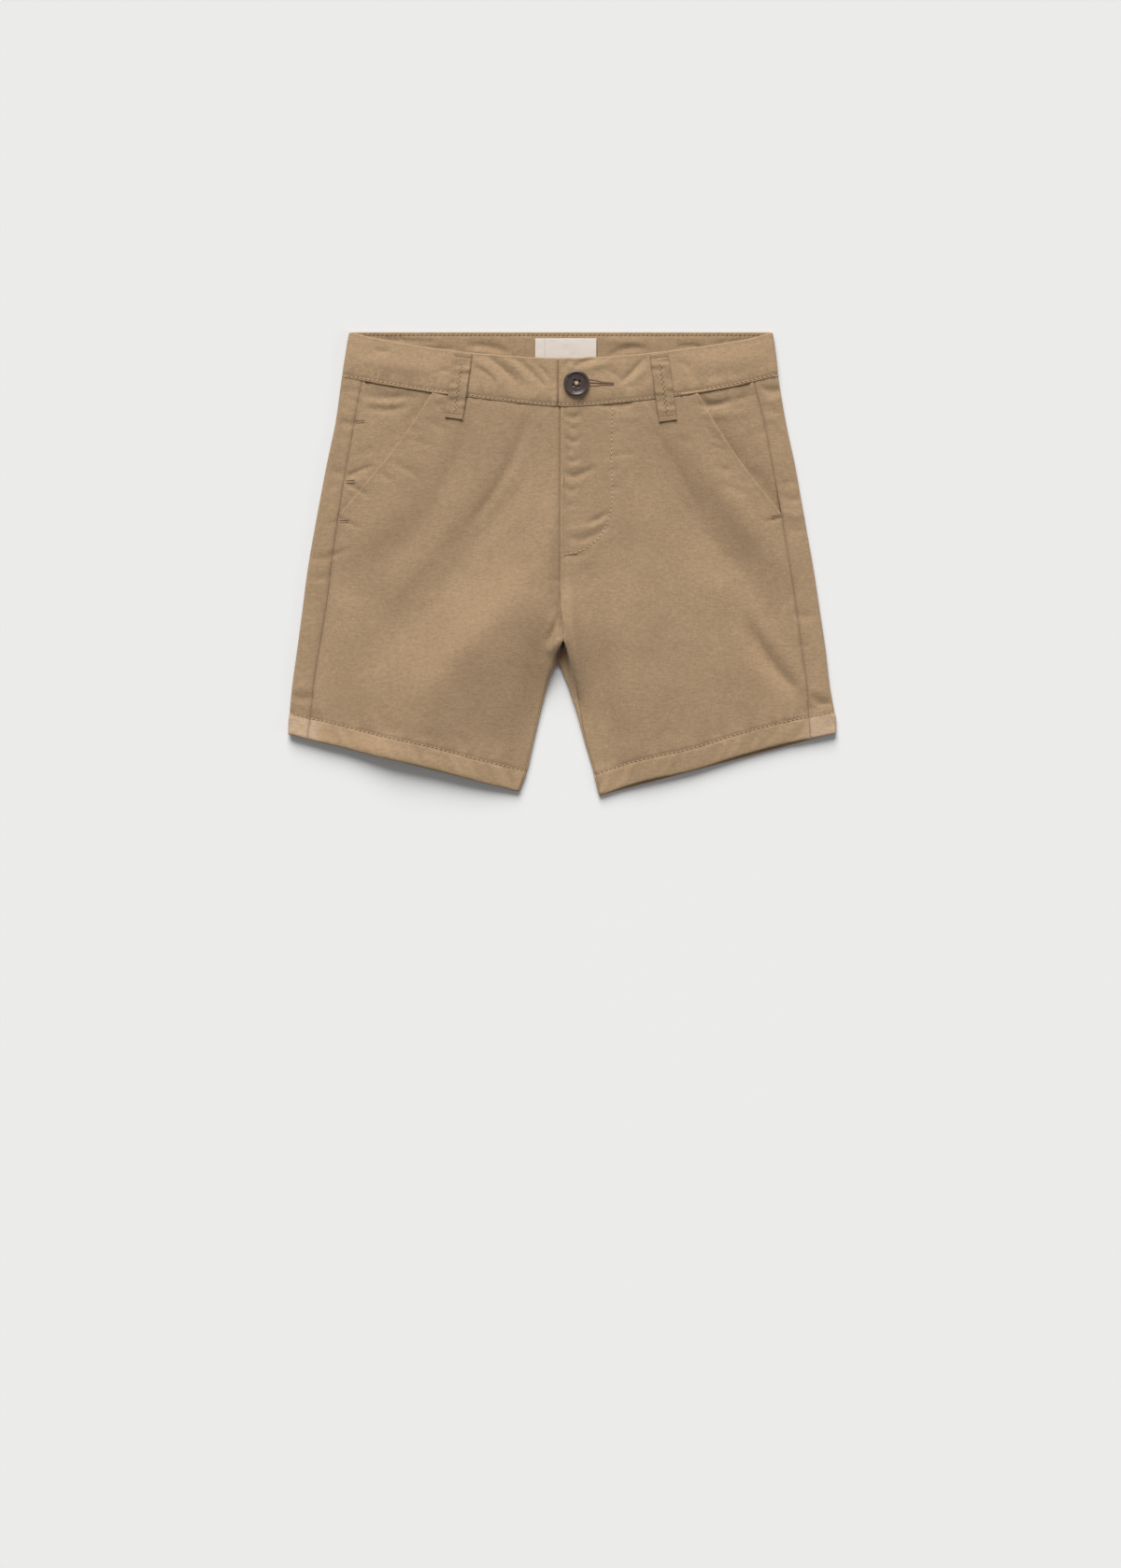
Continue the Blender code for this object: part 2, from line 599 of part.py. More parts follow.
def back(side, material):
    """Back panel: strip beside the side seam, side fold, flat back, inner fold, inseam strip."""
    sign = side.sign
    top_fold = BACK_SEAM - HALF_GAP
    seam_top_x = seam_line(side, SEAM_TOP_Y, HALF_GAP)
    seam_top_y = float(waist("seam", across_waist(seam_top_x))) - HALF_GAP
    seam_low_x = seam_line(side, SEAM_LOW_Y, HALF_GAP)
    seam_low_y = float(hem_near(side, seam_low_x)[1])
    fold_low = float(hem_line(side, 0.0)[1])

    # rows down the side; the crotch row meets the flat end of the centre back seam
    hip_rows = np.linspace(0, BACK_CROTCH_SHARE, HIP_ROWS + 1)[:-1]
    leg_rows = shares_down_leg(BACK_CROTCH_SHARE, BACK_LENGTH)
    rows = np.concatenate([hip_rows, leg_rows])
    walls = hem_walls(rows)
    side_y = top_fold + (fold_low - top_fold) * rows
    strip_y = seam_top_y + (seam_low_y - seam_top_y) * rows
    side_x = section(side.fold, side_y)
    strip_x = seam_line(side, strip_y, HALF_GAP)
    strip_x[0], strip_x[-1] = seam_top_x, seam_low_x

    sheet = Sheet()
    # strip over the top, from the side seam to the side fold
    flat_x = side_x - sign * FOLD_REACH
    u = np.linspace(0, 1, STRIP_COLUMNS)[None, :]
    x = strip_x[:, None] + (flat_x - strip_x)[:, None] * u
    y = strip_y[:, None] + (side_y - strip_y)[:, None] * u
    points, normals = on_face(upper, x, y)
    sheet.add(points, normals, walls, flip=sign < 0)

    # side fold
    height = points[:, -1, 2]
    outward = np.tile([float(sign), 0.0], (len(rows), 1))
    angles = np.broadcast_to(np.linspace(np.pi, 0, FOLD_COLUMNS), (len(rows), FOLD_COLUMNS))
    rim, rim_normals = round_fold(np.stack([side_x, side_y], axis=-1), outward, height, angles)
    rim[:, 0] = points[:, -1]
    rim_normals[:, 0] = normals[:, -1]
    sheet.add(rim, rim_normals, walls, flip=sign < 0)

    # centre back seam down to the crotch, then the inner leg fold
    fold_x, fold_y, seam_x, seam_y = (inner_leg(side, name, LEG_PARTS)
                                      for name in InnerLeg._fields)
    fold = np.stack([fold_x, fold_y], axis=-1)
    seam = np.stack([seam_x, seam_y], axis=-1)
    outward = fold - seam
    gap = np.linalg.norm(outward, axis=-1)
    outward /= gap[:, None]
    start = fold - FOLD_REACH * outward
    aside = np.array([sign * HALF_GAP, 0.0])
    hip_y = top_fold + (start[0, 1] - top_fold) * hip_rows / BACK_CROTCH_SHARE
    hip_x = np.interp(hip_y, [start[0, 1], 0.0], [start[0, 0], FLY_EDGE])
    inner_x = np.concatenate([hip_x + sign * HALF_GAP, start[:, 0]])
    inner_y = np.concatenate([hip_y, start[:, 1]])
    inner_x[len(hip_rows)] += sign * HALF_GAP

    # flat back
    u = np.linspace(0, 1, FLAT_COLUMNS)[None, :]
    x = flat_x[:, None] + (inner_x - flat_x)[:, None] * u
    y = side_y[:, None] + (inner_y - side_y)[:, None] * u
    points, normals = on_floor(x, y)
    points[:, 0] = rim[:, -1]
    sheet.add(points, normals, walls, flip=sign < 0)

    # inner leg fold and the strip from it to the inseam
    rolls, roll_normals = [], []
    for i in range(len(LEG_PARTS)):
        roll, n = inner_roll(fold[i], outward[i], gap[i])
        if i == 0:
            roll[:, :2] += aside
        rolls.append(roll)
        roll_normals.append(n)
    sheet.add(np.array(rolls), np.array(roll_normals), walls[len(hip_rows):], flip=sign < 0)
    return sheet.solid(f"back_{side.name}", material)


def inner_roll(fold, outward, gap):
    """Even points from the flat back round the inner fold to the inseam, with normals."""
    start = fold - FOLD_REACH * outward
    height = upper(start[0], start[1])
    reach = max(gap - INSEAM_HALF_GAP, 0.0)
    last = np.pi if reach >= FOLD_REACH else np.pi - math.asin((FOLD_REACH - reach) / FOLD_REACH)
    angles = np.linspace(0, last, INNER_ARC)
    points, normals = round_fold(fold[None], outward[None], np.array([height]), angles[None])
    points, normals = points[0], normals[0]
    if reach > FOLD_REACH:
        run = np.linspace(FOLD_REACH, reach, INNER_RUN)[1:, None]
        xy = fold - run * outward
        top, top_normals = on_face(upper, xy[:, 0], xy[:, 1])
        points = np.vstack([points, top])
        normals = np.vstack([normals, top_normals])
    along = np.concatenate([[0], np.cumsum(np.linalg.norm(np.diff(points, axis=0), axis=1))])
    at = np.linspace(0, along[-1], INNER_COLUMNS)
    even = np.stack([np.interp(at, along, points[:, k]) for k in range(3)], axis=-1)
    lean = np.stack([np.interp(at, along, normals[:, k]) for k in range(3)], axis=-1)
    return even, lean / np.linalg.norm(lean, axis=-1, keepdims=True)


def pocket_facing(side, material):
    """Hip piece between the slant pocket mouth and the side seam, running in under the front."""
    sign = side.sign
    end_y = slant(side, 1.0)[1]
    seam_top_x = seam_line(side, SEAM_TOP_Y, -HALF_GAP)
    seam_top_y = float(waist("seam", across_waist(seam_top_x))) - HALF_GAP
    rows = np.linspace(0, 1, FACING_ROWS)
    low_y = end_y - POCKET_TAIL
    outer_y = seam_top_y + (low_y - seam_top_y) * rows
    outer_x = seam_line(side, outer_y, -HALF_GAP)
    outer_x[0] = seam_top_x
    mouth_x, mouth_y = slant(side, rows)
    inner_x = mouth_x - sign * POCKET_LAP
    inner_y = mouth_y + (low_y - end_y) * rows
    inner_y[0] = float(waist("seam", across_waist(inner_x[0]))) - HALF_GAP
    u = np.linspace(0, 1, FACING_COLUMNS)[None, :]
    x = outer_x[:, None] + (inner_x - outer_x)[:, None] * u
    y = outer_y[:, None] + (inner_y - outer_y)[:, None] * u
    y[0] = waist("seam", across_waist(x[0])) - HALF_GAP
    sheet = Sheet()
    sheet.add(*on_face(lowered_for_pocket(side), x, y), TWILL_WALL, flip=sign > 0)
    return sheet.solid(f"pocket_facing_{side.name}", material)


def waistband(material):
    """One strip: over the left front, round the back and to the right front, its ends lapped."""
    down = np.linspace(0, 1, BAND_ROWS)[:, None]
    sheet = Sheet()
    corners = {}
    for side in SIDES:
        sign = side.sign
        fold_top = section(side.fold, BAND_FOLD_TOP)
        fold_low = section(side.fold, BACK_SEAM)
        fold_x = fold_top + (fold_low - fold_top) * down
        reach_x = fold_x - sign * FOLD_REACH
        end = BAND_OVERLAP_EDGE if sign > 0 else BAND_UNDERLAP
        across = np.linspace(1, 0, BAND_COLUMNS)[None, :]
        x = end + (reach_x - end) * across
        share = np.clip(x / (np.abs(fold_x) - FOLD_REACH), -1, 1)
        y = waist("top", share) + (waist("seam", share) + HALF_GAP - waist("top", share)) * down
        under = sign < 0

        def face(px, py, under=under):
            return band_front_face(px, py, under)
        points, normals = on_face(face, x, y)
        sheet.add(points, normals, BAND_WALL, flip=sign > 0)

        height = points[:, 0, 2]
        edge = np.stack([fold_x[:, 0], y[:, 0]], axis=-1)
        outward = np.tile([float(sign), 0.0], (len(down), 1))
        angles = np.broadcast_to(np.linspace(0, np.pi, FOLD_COLUMNS), (BAND_ROWS, FOLD_COLUMNS))
        rim, rim_normals = round_fold(edge, outward, height, angles)
        back_y = BACK_TOP + (BACK_SEAM + HALF_GAP - BACK_TOP) * down[:, 0]
        turn = (1 - np.cos(angles)) / 2
        rim[:, :, 1] = back_y[:, None] + (y[:, :1] - back_y[:, None]) * turn
        rim[:, -1] = points[:, 0]
        rim_normals[:, -1] = normals[:, 0]
        sheet.add(rim, rim_normals, BAND_WALL, flip=sign > 0)
        corners[sign] = rim[:, 0]
    t = np.linspace(0, 1, BAND_BACK_COLUMNS)[None, :, None]
    flat = corners[-1][:, None] * (1 - t) + corners[1][:, None] * t
    normals = np.broadcast_to([0.0, 0.0, -1.0], flat.shape)
    sheet.add(flat, normals, BAND_WALL, flip=True)
    return sheet.solid("waistband", material)


def belt_loop(name, material):
    """Strip from the waistband's upper edge to below its seam, just over what it lies on."""
    (top_x, top_y), (low_x, low_y) = BELT_LOOPS[name]
    t = np.linspace(0, 1, LOOP_ROWS)[:, None]
    u = np.linspace(-0.5, 0.5, LOOP_COLUMNS)[None, :]
    length = math.hypot(low_x - top_x, low_y - top_y)
    lean = ((top_y - low_y) / length, (low_x - top_x) / length)
    x = top_x + (low_x - top_x) * t + u * LOOP_WIDTH * lean[0]
    y = top_y + (low_y - top_y) * t + u * LOOP_WIDTH * lean[1]
    seam_y = waist("seam", across_waist(x))
    share = np.broadcast_to(t, x.shape)
    lift = (SEAM_GAP + LOOP_WALL + LOOP_RISE * np.sin(np.pi * share)
            + BAND_STEP * ramp(*LOOP_STEP, y - seam_y))

    points, normals = on_face(upper, x, y)
    points[..., 2] += lift
    sheet = Sheet()
    sheet.add(points, normals, LOOP_WALL)
    return sheet.solid(name, material)


def button(material):
    """Four-hole button with a raised rim, lying on the waistband's left end."""
    x, y = BUTTON_CENTRE
    r, h = BUTTON_RADIUS, BUTTON_HEIGHT
    ring = np.linspace(0, 2 * np.pi, BUTTON_STEPS)
    seat = float(np.max(band_face(x + r * np.cos(ring), y + r * np.sin(ring))))
    seat = max(seat, float(band_face(x, y))) + SEAM_GAP
    work = bmesh.new()
    verts = [work.verts.new((p.radius * r * MM, 0.0, p.height * h * MM)) for p in BUTTON_PROFILE]
    edges = [work.edges.new(pair) for pair in zip(verts, verts[1:])]
    bmesh.ops.spin(work, geom=verts + edges, cent=(0, 0, 0), axis=(0, 0, 1),
                   angle=2 * math.pi, steps=BUTTON_STEPS, use_merge=True)
    bmesh.ops.remove_doubles(work, verts=work.verts, dist=1e-6)
    bmesh.ops.recalc_face_normals(work, faces=work.faces)
    mesh = bpy.data.meshes.new("button")
    work.to_mesh(mesh)
    work.free()
    mesh.shade_smooth()
    mesh.set_sharp_from_angle(angle=SHARP_EDGE)
    mesh.materials.append(material)
    disc = bpy.data.objects.new("button", mesh)
    disc.location = (x * MM, y * MM, seat * MM)
    bpy.context.scene.collection.objects.link(disc)
    for k in range(4):
        angle = BUTTON_TURN + k * math.pi / 2
        place = (x + BUTTON_HOLE_SPREAD * math.cos(angle), y + BUTTON_HOLE_SPREAD * math.sin(angle))
        cut = disc.modifiers.new(f"hole_{k}", "BOOLEAN")
        cut.operation = "DIFFERENCE"
        cut.object = hole_cutter(f"hole_cutter_{k}", place, seat + h / 2)
    return disc


def hole_cutter(name, place, z):
    work = bmesh.new()
    bmesh.ops.create_cone(work, cap_ends=True, segments=HOLE_STEPS, radius1=BUTTON_HOLE_RADIUS * MM,
                          radius2=BUTTON_HOLE_RADIUS * MM, depth=3 * BUTTON_HEIGHT * MM)
    mesh = bpy.data.meshes.new(name)
    work.to_mesh(mesh)
    work.free()
    cutter = bpy.data.objects.new(name, mesh)
    cutter.location = (place[0] * MM, place[1] * MM, z * MM)
    cutter.hide_render = True
    cutter.display_type = "WIRE"
    bpy.context.scene.collection.objects.link(cutter)
    return cutter


def label(material):
    """Plain woven label sewn inside the back waistband."""
    x = LABEL_CENTRE_X + LABEL_WIDTH * np.linspace(-0.5, 0.5, LABEL_COLUMNS)[None, :]
    y = np.linspace(LABEL_TOP, LABEL_BOTTOM, LABEL_ROWS)[:, None]

    def face(px, py):
        return np.full(np.shape(px), BAND_WALL + SEAM_GAP + LABEL_WALL)
    sheet = Sheet()
    sheet.add(*on_face(face, x, y), LABEL_WALL)
    return sheet.solid("label", material)


def surface(name, colour, roughness, metallic=0.0):
    material = bpy.data.materials.new(name)
    material.use_nodes = True
    shader = material.node_tree.nodes["Principled BSDF"]
    shader.inputs["Base Color"].default_value = (*colour, 1.0)
    shader.inputs["Roughness"].default_value = roughness
    shader.inputs["Metallic"].default_value = metallic
    return material


def build():
    for old in list(bpy.data.objects):
        bpy.data.objects.remove(old, do_unlink=True)
    for side in SIDES:
        front(side, surface(f"front twill {side.name}", KHAKI, TWILL_ROUGHNESS))
        back(side, surface(f"back twill {side.name}", KHAKI, TWILL_ROUGHNESS))
        pocket_facing(side, surface(f"facing twill {side.name}", KHAKI, TWILL_ROUGHNESS))
    waistband(surface("waistband twill", KHAKI, TWILL_ROUGHNESS))
    for name in BELT_LOOPS:
        belt_loop(name, surface(f"{name} twill", KHAKI, TWILL_ROUGHNESS))
    button(surface("button plastic", DARK_BROWN, BUTTON_ROUGHNESS))
    label(surface("label weave", OFF_WHITE, TWILL_ROUGHNESS))


build()
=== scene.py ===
"""Looks of the child's chino bermuda shorts: every panel is a thin shell on its solid's form.

The form's tables and functions are the ones that the solids were made from, in millimetres, with
finer creases, puckers, rolled edges and stitches on top. +X is the wearer's left, +Y the waist.
"""
import math
from collections import namedtuple

import bmesh
import bpy
import numpy as np
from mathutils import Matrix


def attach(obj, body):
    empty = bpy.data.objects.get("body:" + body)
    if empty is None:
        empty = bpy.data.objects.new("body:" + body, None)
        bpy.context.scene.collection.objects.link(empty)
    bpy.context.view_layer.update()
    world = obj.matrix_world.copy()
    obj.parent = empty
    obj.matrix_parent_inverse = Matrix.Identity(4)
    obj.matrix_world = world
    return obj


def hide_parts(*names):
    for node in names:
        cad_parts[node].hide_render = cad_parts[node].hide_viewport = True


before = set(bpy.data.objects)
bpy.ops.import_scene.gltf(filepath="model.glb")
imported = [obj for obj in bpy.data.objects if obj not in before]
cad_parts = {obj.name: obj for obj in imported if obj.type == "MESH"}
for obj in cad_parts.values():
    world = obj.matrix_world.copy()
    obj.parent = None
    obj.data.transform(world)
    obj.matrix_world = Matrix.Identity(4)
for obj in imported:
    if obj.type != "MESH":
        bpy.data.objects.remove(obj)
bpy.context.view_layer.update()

MM = 0.001

# Walls and clearances of the shells
WALL = 0.85
EDGE_WALL = 0.95        # doubled edge of a pocket mouth or the fly
HEM_WALL = 1.45
BAND_WALL = 1.8
LOOP_WALL = 0.8
LABEL_WALL = 0.6
HALF_GAP = 0.03         # half of the groove where two pieces are sewn edge to edge
INSEAM_HALF_GAP = 0.04
LAP_GAP = 0.1

# The lying form, as in the solids
FOLD_REACH = 2.3
EDGE_HEIGHT = 3.4       # a little flatter than the solids
LOWEST = 2.1            # thickness of the cloth's layers where they are pressed flat
HEM_FULL = 0.9          # what the hems add to that
SUNK_HEIGHT = 2.0       # the back's strip inside the inseam, under the crotch
SUNK_STRIP = {"right": (2.0, 14.0), "left": (40.0, 66.0)}   # where it rises, down the leg
SUNK_RISE = (2.0, 3.5)  # over what width it rises to the seam: at the crotch, and more below
SUNK_RISE_BELOW = (8.0, 30.0)   # how far below the crotch that grows
BAND_STEP = 0.3
HEM_DEPTH = 13.0
HEM_STEP = 1.5
FRONT_LENGTH = 215.0
BACK_LENGTH = 209.0
BACK_CROTCH_SHARE = 0.7
BACK_TOP = 136.4
BACK_SEAM = 109.5
BAND_FOLD_TOP = 136.0   # how high the waistband reaches at the side folds
HEM_FOLD_Y = -101.0     # and where the hems end there
CROTCH_BLEND = (-75.0, -25.0)
HIP_FULLNESS = 2.6
LEG_FULLNESS = 0.9
FOLD_FADE = 0.7
FLY_EDGE = -1.1
FLY_UNDERLAP = 9.0
FLY_LAP_END = (-32.0, -18.0)
BAND_OVERLAP_EDGE = -2.2
BAND_UNDERLAP = 29.0
CENTRE_X = (-2.2, 0.8, FLY_EDGE)
CENTRE_Y = (-59.4, -45.1, -25.0)
POCKET_LAP = 10.0
POCKET_TAIL = 6.0
POCKET_SINK = (0.4, 4.0, 11.0)  # where it starts, and its width at the waist and more below
POCKET_OPENS = (4.0, 30.0)      # how far below the waist that width grows
POCKET_LIFT = 15.0      # over what width the front rises to the pocket's edge
FLY_SINK = (-1.5, -0.1)
FLY_SINK_END = -44.0
BAND_SINK = (-1.5, -0.2)
SEAM_TOP_Y = 107.0      # about where the side seam starts and ends
SEAM_LOW_Y = -102.0
BAND_EASE = (0.35, 9.0)     # what the facing rises to the waistband, and over what depth
PAINTED_HIGHLIGHT_CORNER = (15.0, 20.0)  # width of the painted highlight on each hem's outer corner, where it fades out
LEG_BLEND = (-6.0, 8.0)     # where a leg's soft folds fade out past the centre line
FLOOR_EASE = 0.5        # how softly the form is held above its lowest height
MOST_TURNED = 0.98      # how far an edge turns over, short of upright
LOOP_WIDTH = 10.8
LOOP_LIFT = 0.15        # over what the loop lies on
LOOP_STITCHED = 2.3     # from its ends to the stitches across it
FACING_LENGTH = 84.0    # about, to count its rows
FACING_WIDTH = (50.0, 40.0)     # about, at the waist and in the middle
DOUBLED_END = (7.0, 9.0)    # where the doubled cloth beside a folded edge ends

BUTTON_CENTRE = (8.25, 105.1)
BUTTON_RADIUS = 7.6
BUTTON_HEIGHT = 2.6
BUTTON_HOLE_RADIUS = 0.8
BUTTON_HOLE_SPREAD = 1.9
BUTTON_TURN = math.radians(30.0)

LABEL_CENTRE_X = 2.0
LABEL_WIDTH = 36.0
LABEL_TOP = 132.5
LABEL_BOTTOM = 112.0
LABEL_DEPTH = 20.0      # about
LABEL_GRID = (60, 34)

# Edges and stitching
EDGE_ROLL = 0.4         # radius over which a folded edge turns down
SEAM_ROLL = 0.15        # and a panel's edge at a seam
HEM_ROLL = 0.8
BAND_ROLL = 0.85
BAND_SEAM_ROLL = 0.25   # the waistband's lower edge, where it is turned under
BAND_END_ROLL = 0.7
LOOP_ROLL = 0.65
LABEL_ROLL = 0.25
CREASE_FADE = 0.6       # how soon a crease fades towards its ends
DRAPE_FADE = 1.6        # and a soft fold
BAND_STITCH = 1.8       # stitch line from the waistband's edge
STITCH_PITCH = 2.6
GROOVE = 0.34           # depth of a stitched line
GROOVE_WIDE = 0.75
EDGE_WAVE = 0.3         # how far a side fold wanders
EDGE_WAVE_LENGTH = 26.0
PIECE_SPREAD = 40.0     # how far apart the pieces read their puckers

# Grid spacings
FRONT_STEP = (1.15, 0.85)       # down the leg and across it
BACK_STEP = (1.6, 2.4)
FACING_STEP = 1.0
BAND_GRID = (0.8, 0.75)         # down and along
LOOP_GRID = (0.5, 0.45)
LOOP_INSET = (0.55, 0.5)        # first and last rows and columns of a loop
BACK_WIDTH = 140.0              # about, to count its columns
BAND_WIDTH = 250.0
HEM_ZONE = 19.0                 # finer rows over this depth at the hem
HEM_STEPS = (0.75, 0.9)         # their steps on the fronts and the backs
ROUND_STEPS = 15                # steps round a side fold
INNER_STEPS = 14                # and over an inner one to the inseam
STRIP_GRID = (12, 11.0)         # steps across the strip by the side seam, and its width

# Side folds and side seams, as x at each height y, and how far the front arches up there
Section = namedtuple("Section", "y right_fold right_seam left_seam left_fold arch")
SECTIONS = [
    Section(-101.0, -161.2, -149.5, 145.8, 161.2, 1.6),
    Section(-88.0, -160.5, -147.9, 144.8, 160.3, 2.2),
    Section(-75.0, -159.3, -146.6, 143.9, 157.8, 2.8),
    Section(-50.0, -156.0, -142.9, 140.7, 154.8, 3.8),
    Section(-25.0, -152.7, -138.7, 137.3, 151.1, 4.8),
    Section(2.0, -149.1, -135.4, 133.2, 146.9, 5.0),
    Section(28.0, -144.5, -131.7, 128.9, 142.3, 5.6),
    Section(57.0, -138.9, -127.0, 123.6, 137.0, 6.2),
    Section(84.0, -133.3, -122.1, 118.3, 131.3, 7.0),
    Section(109.5, -129.8, -117.3, 111.7, 127.1, 7.6),
    Section(136.0, -125.4, -110.0, 104.0, 123.8, 8.0),
]

# Front waistband edges; across runs from -1 at the right fold to 1 at the left fold
Waist = namedtuple("Waist", "across top seam")
WAIST = [
    Waist(-1.0, 136.0, 109.5),
    Waist(-0.94, 133.8, 108.0),
    Waist(-0.8, 130.1, 104.8),
    Waist(-0.6, 126.0, 100.3),
    Waist(-0.3, 121.9, 95.1),
    Waist(0.0, 120.1, 91.4),
    Waist(0.3, 121.8, 94.1),
    Waist(0.6, 126.0, 99.1),
    Waist(0.8, 129.8, 104.1),
    Waist(0.94, 133.3, 108.2),
    Waist(1.0, 135.8, 110.0),
]

# Hem edges; across runs from 0 at the side fold to 1 at the inner fold of the leg
Hem = namedtuple("Hem", "across right left")
HEM = [
    Hem(0.0, -100.7, -100.1),
    Hem(0.15, -105.2, -103.8),
    Hem(0.38, -113.3, -111.8),
    Hem(0.6, -120.2, -121.2),
    Hem(0.85, -129.2, -129.3),
    Hem(1.0, -134.2, -136.4),
]

# Inner leg: the fold, and the inseam that joins front and back beside it, from the crotch down
InnerLeg = namedtuple("InnerLeg", "fold_x fold_y seam_x seam_y")
INNER_RIGHT = [
    InnerLeg(-2.2, -59.4, 0.8, -45.1),
    InnerLeg(-3.9, -60.1, -3.3, -51.2),
    InnerLeg(-5.5, -62.0, -6.4, -57.9),
    InnerLeg(-6.8, -65.6, -8.0, -64.6),
    InnerLeg(-8.9, -72.0, -9.7, -71.7),
    InnerLeg(-13.2, -88.5, -14.0, -88.3),
    InnerLeg(-17.0, -105.0, -17.8, -104.8),
    InnerLeg(-20.9, -121.5, -21.7, -121.3),
    InnerLeg(-25.3, -134.2, -26.1, -133.9),
]
INNER_LEFT = [
    InnerLeg(-2.2, -59.4, 0.8, -45.1),
    InnerLeg(-0.9, -61.0, 3.0, -51.5),
    InnerLeg(0.3, -64.6, 5.2, -60.0),
    InnerLeg(3.3, -72.0, 7.9, -70.7),
    InnerLeg(6.1, -80.3, 9.4, -79.5),
    InnerLeg(8.8, -88.5, 11.0, -88.0),
    InnerLeg(11.0, -96.8, 12.2, -96.5),
    InnerLeg(13.2, -105.0, 14.1, -104.8),
    InnerLeg(18.1, -121.5, 18.9, -121.3),
    InnerLeg(21.5, -136.4, 22.3, -136.2),
]

# Slant pocket mouths, from the waistband down to the side seam
Slant = namedtuple("Slant", "right_x right_y left_x left_y")
SLANT = [
    Slant(-76.2, 100.0, 79.2, 100.0),
    Slant(-93.5, 74.2, 93.2, 76.7),
    Slant(-105.6, 58.8, 106.6, 57.2),
    Slant(-117.7, 44.6, 117.6, 43.2),
    Slant(-131.2, 28.0, 128.8, 28.9),
]

# Large soft folds of the front: three points, height at the middle and half width
Fold = namedtuple("Fold", "name start middle end height spread")
FOLDS = [
    Fold("right leg ridge", (-15, 46), (-62, -25), (-95, -80), 1.1, 18),
    Fold("right fly trough", (-22, 85), (-45, 35), (-73, 2), -1.2, 7),
    Fold("right hip trough", (-56, 82), (-76, 33), (-117, -9), -1.0, 9),
    Fold("right inner hem trough", (-62, -52), (-52, -85), (-38, -112), -1.2, 13),
    Fold("left hip trough", (54, 82), (86, 32), (134, -25), -1.5, 13),
    Fold("left thigh ridge", (78, 12), (96, -18), (112, -46), 0.8, 10),
    Fold("left side trough", (104, -32), (124, -60), (138, -74), -0.9, 6),
    Fold("left inner trough", (16, 0), (22, -50), (32, -108), -1.0, 9),
    Fold("crotch trough", (-4, -14), (-9, -36), (-16, -58), -0.9, 5),
]

# Belt loop centre lines
BELT_LOOPS = {
    "belt_loop_right": ((-58.0, 123.2), (-63.6, 84.6)),
    "belt_loop_left": ((56.5, 122.9), (61.9, 83.2)),
}

Side = namedtuple("Side", "name sign fold seam hem inner slant_x slant_y")
SIDES = [
    Side("right", -1, "right_fold", "right_seam", "right", INNER_RIGHT, "right_x", "right_y"),
    Side("left", 1, "left_fold", "left_seam", "left", INNER_LEFT, "left_x", "left_y"),
]

Crease = namedtuple("Crease", "points height wide")
Drape = namedtuple("Drape", "leg points height left right")
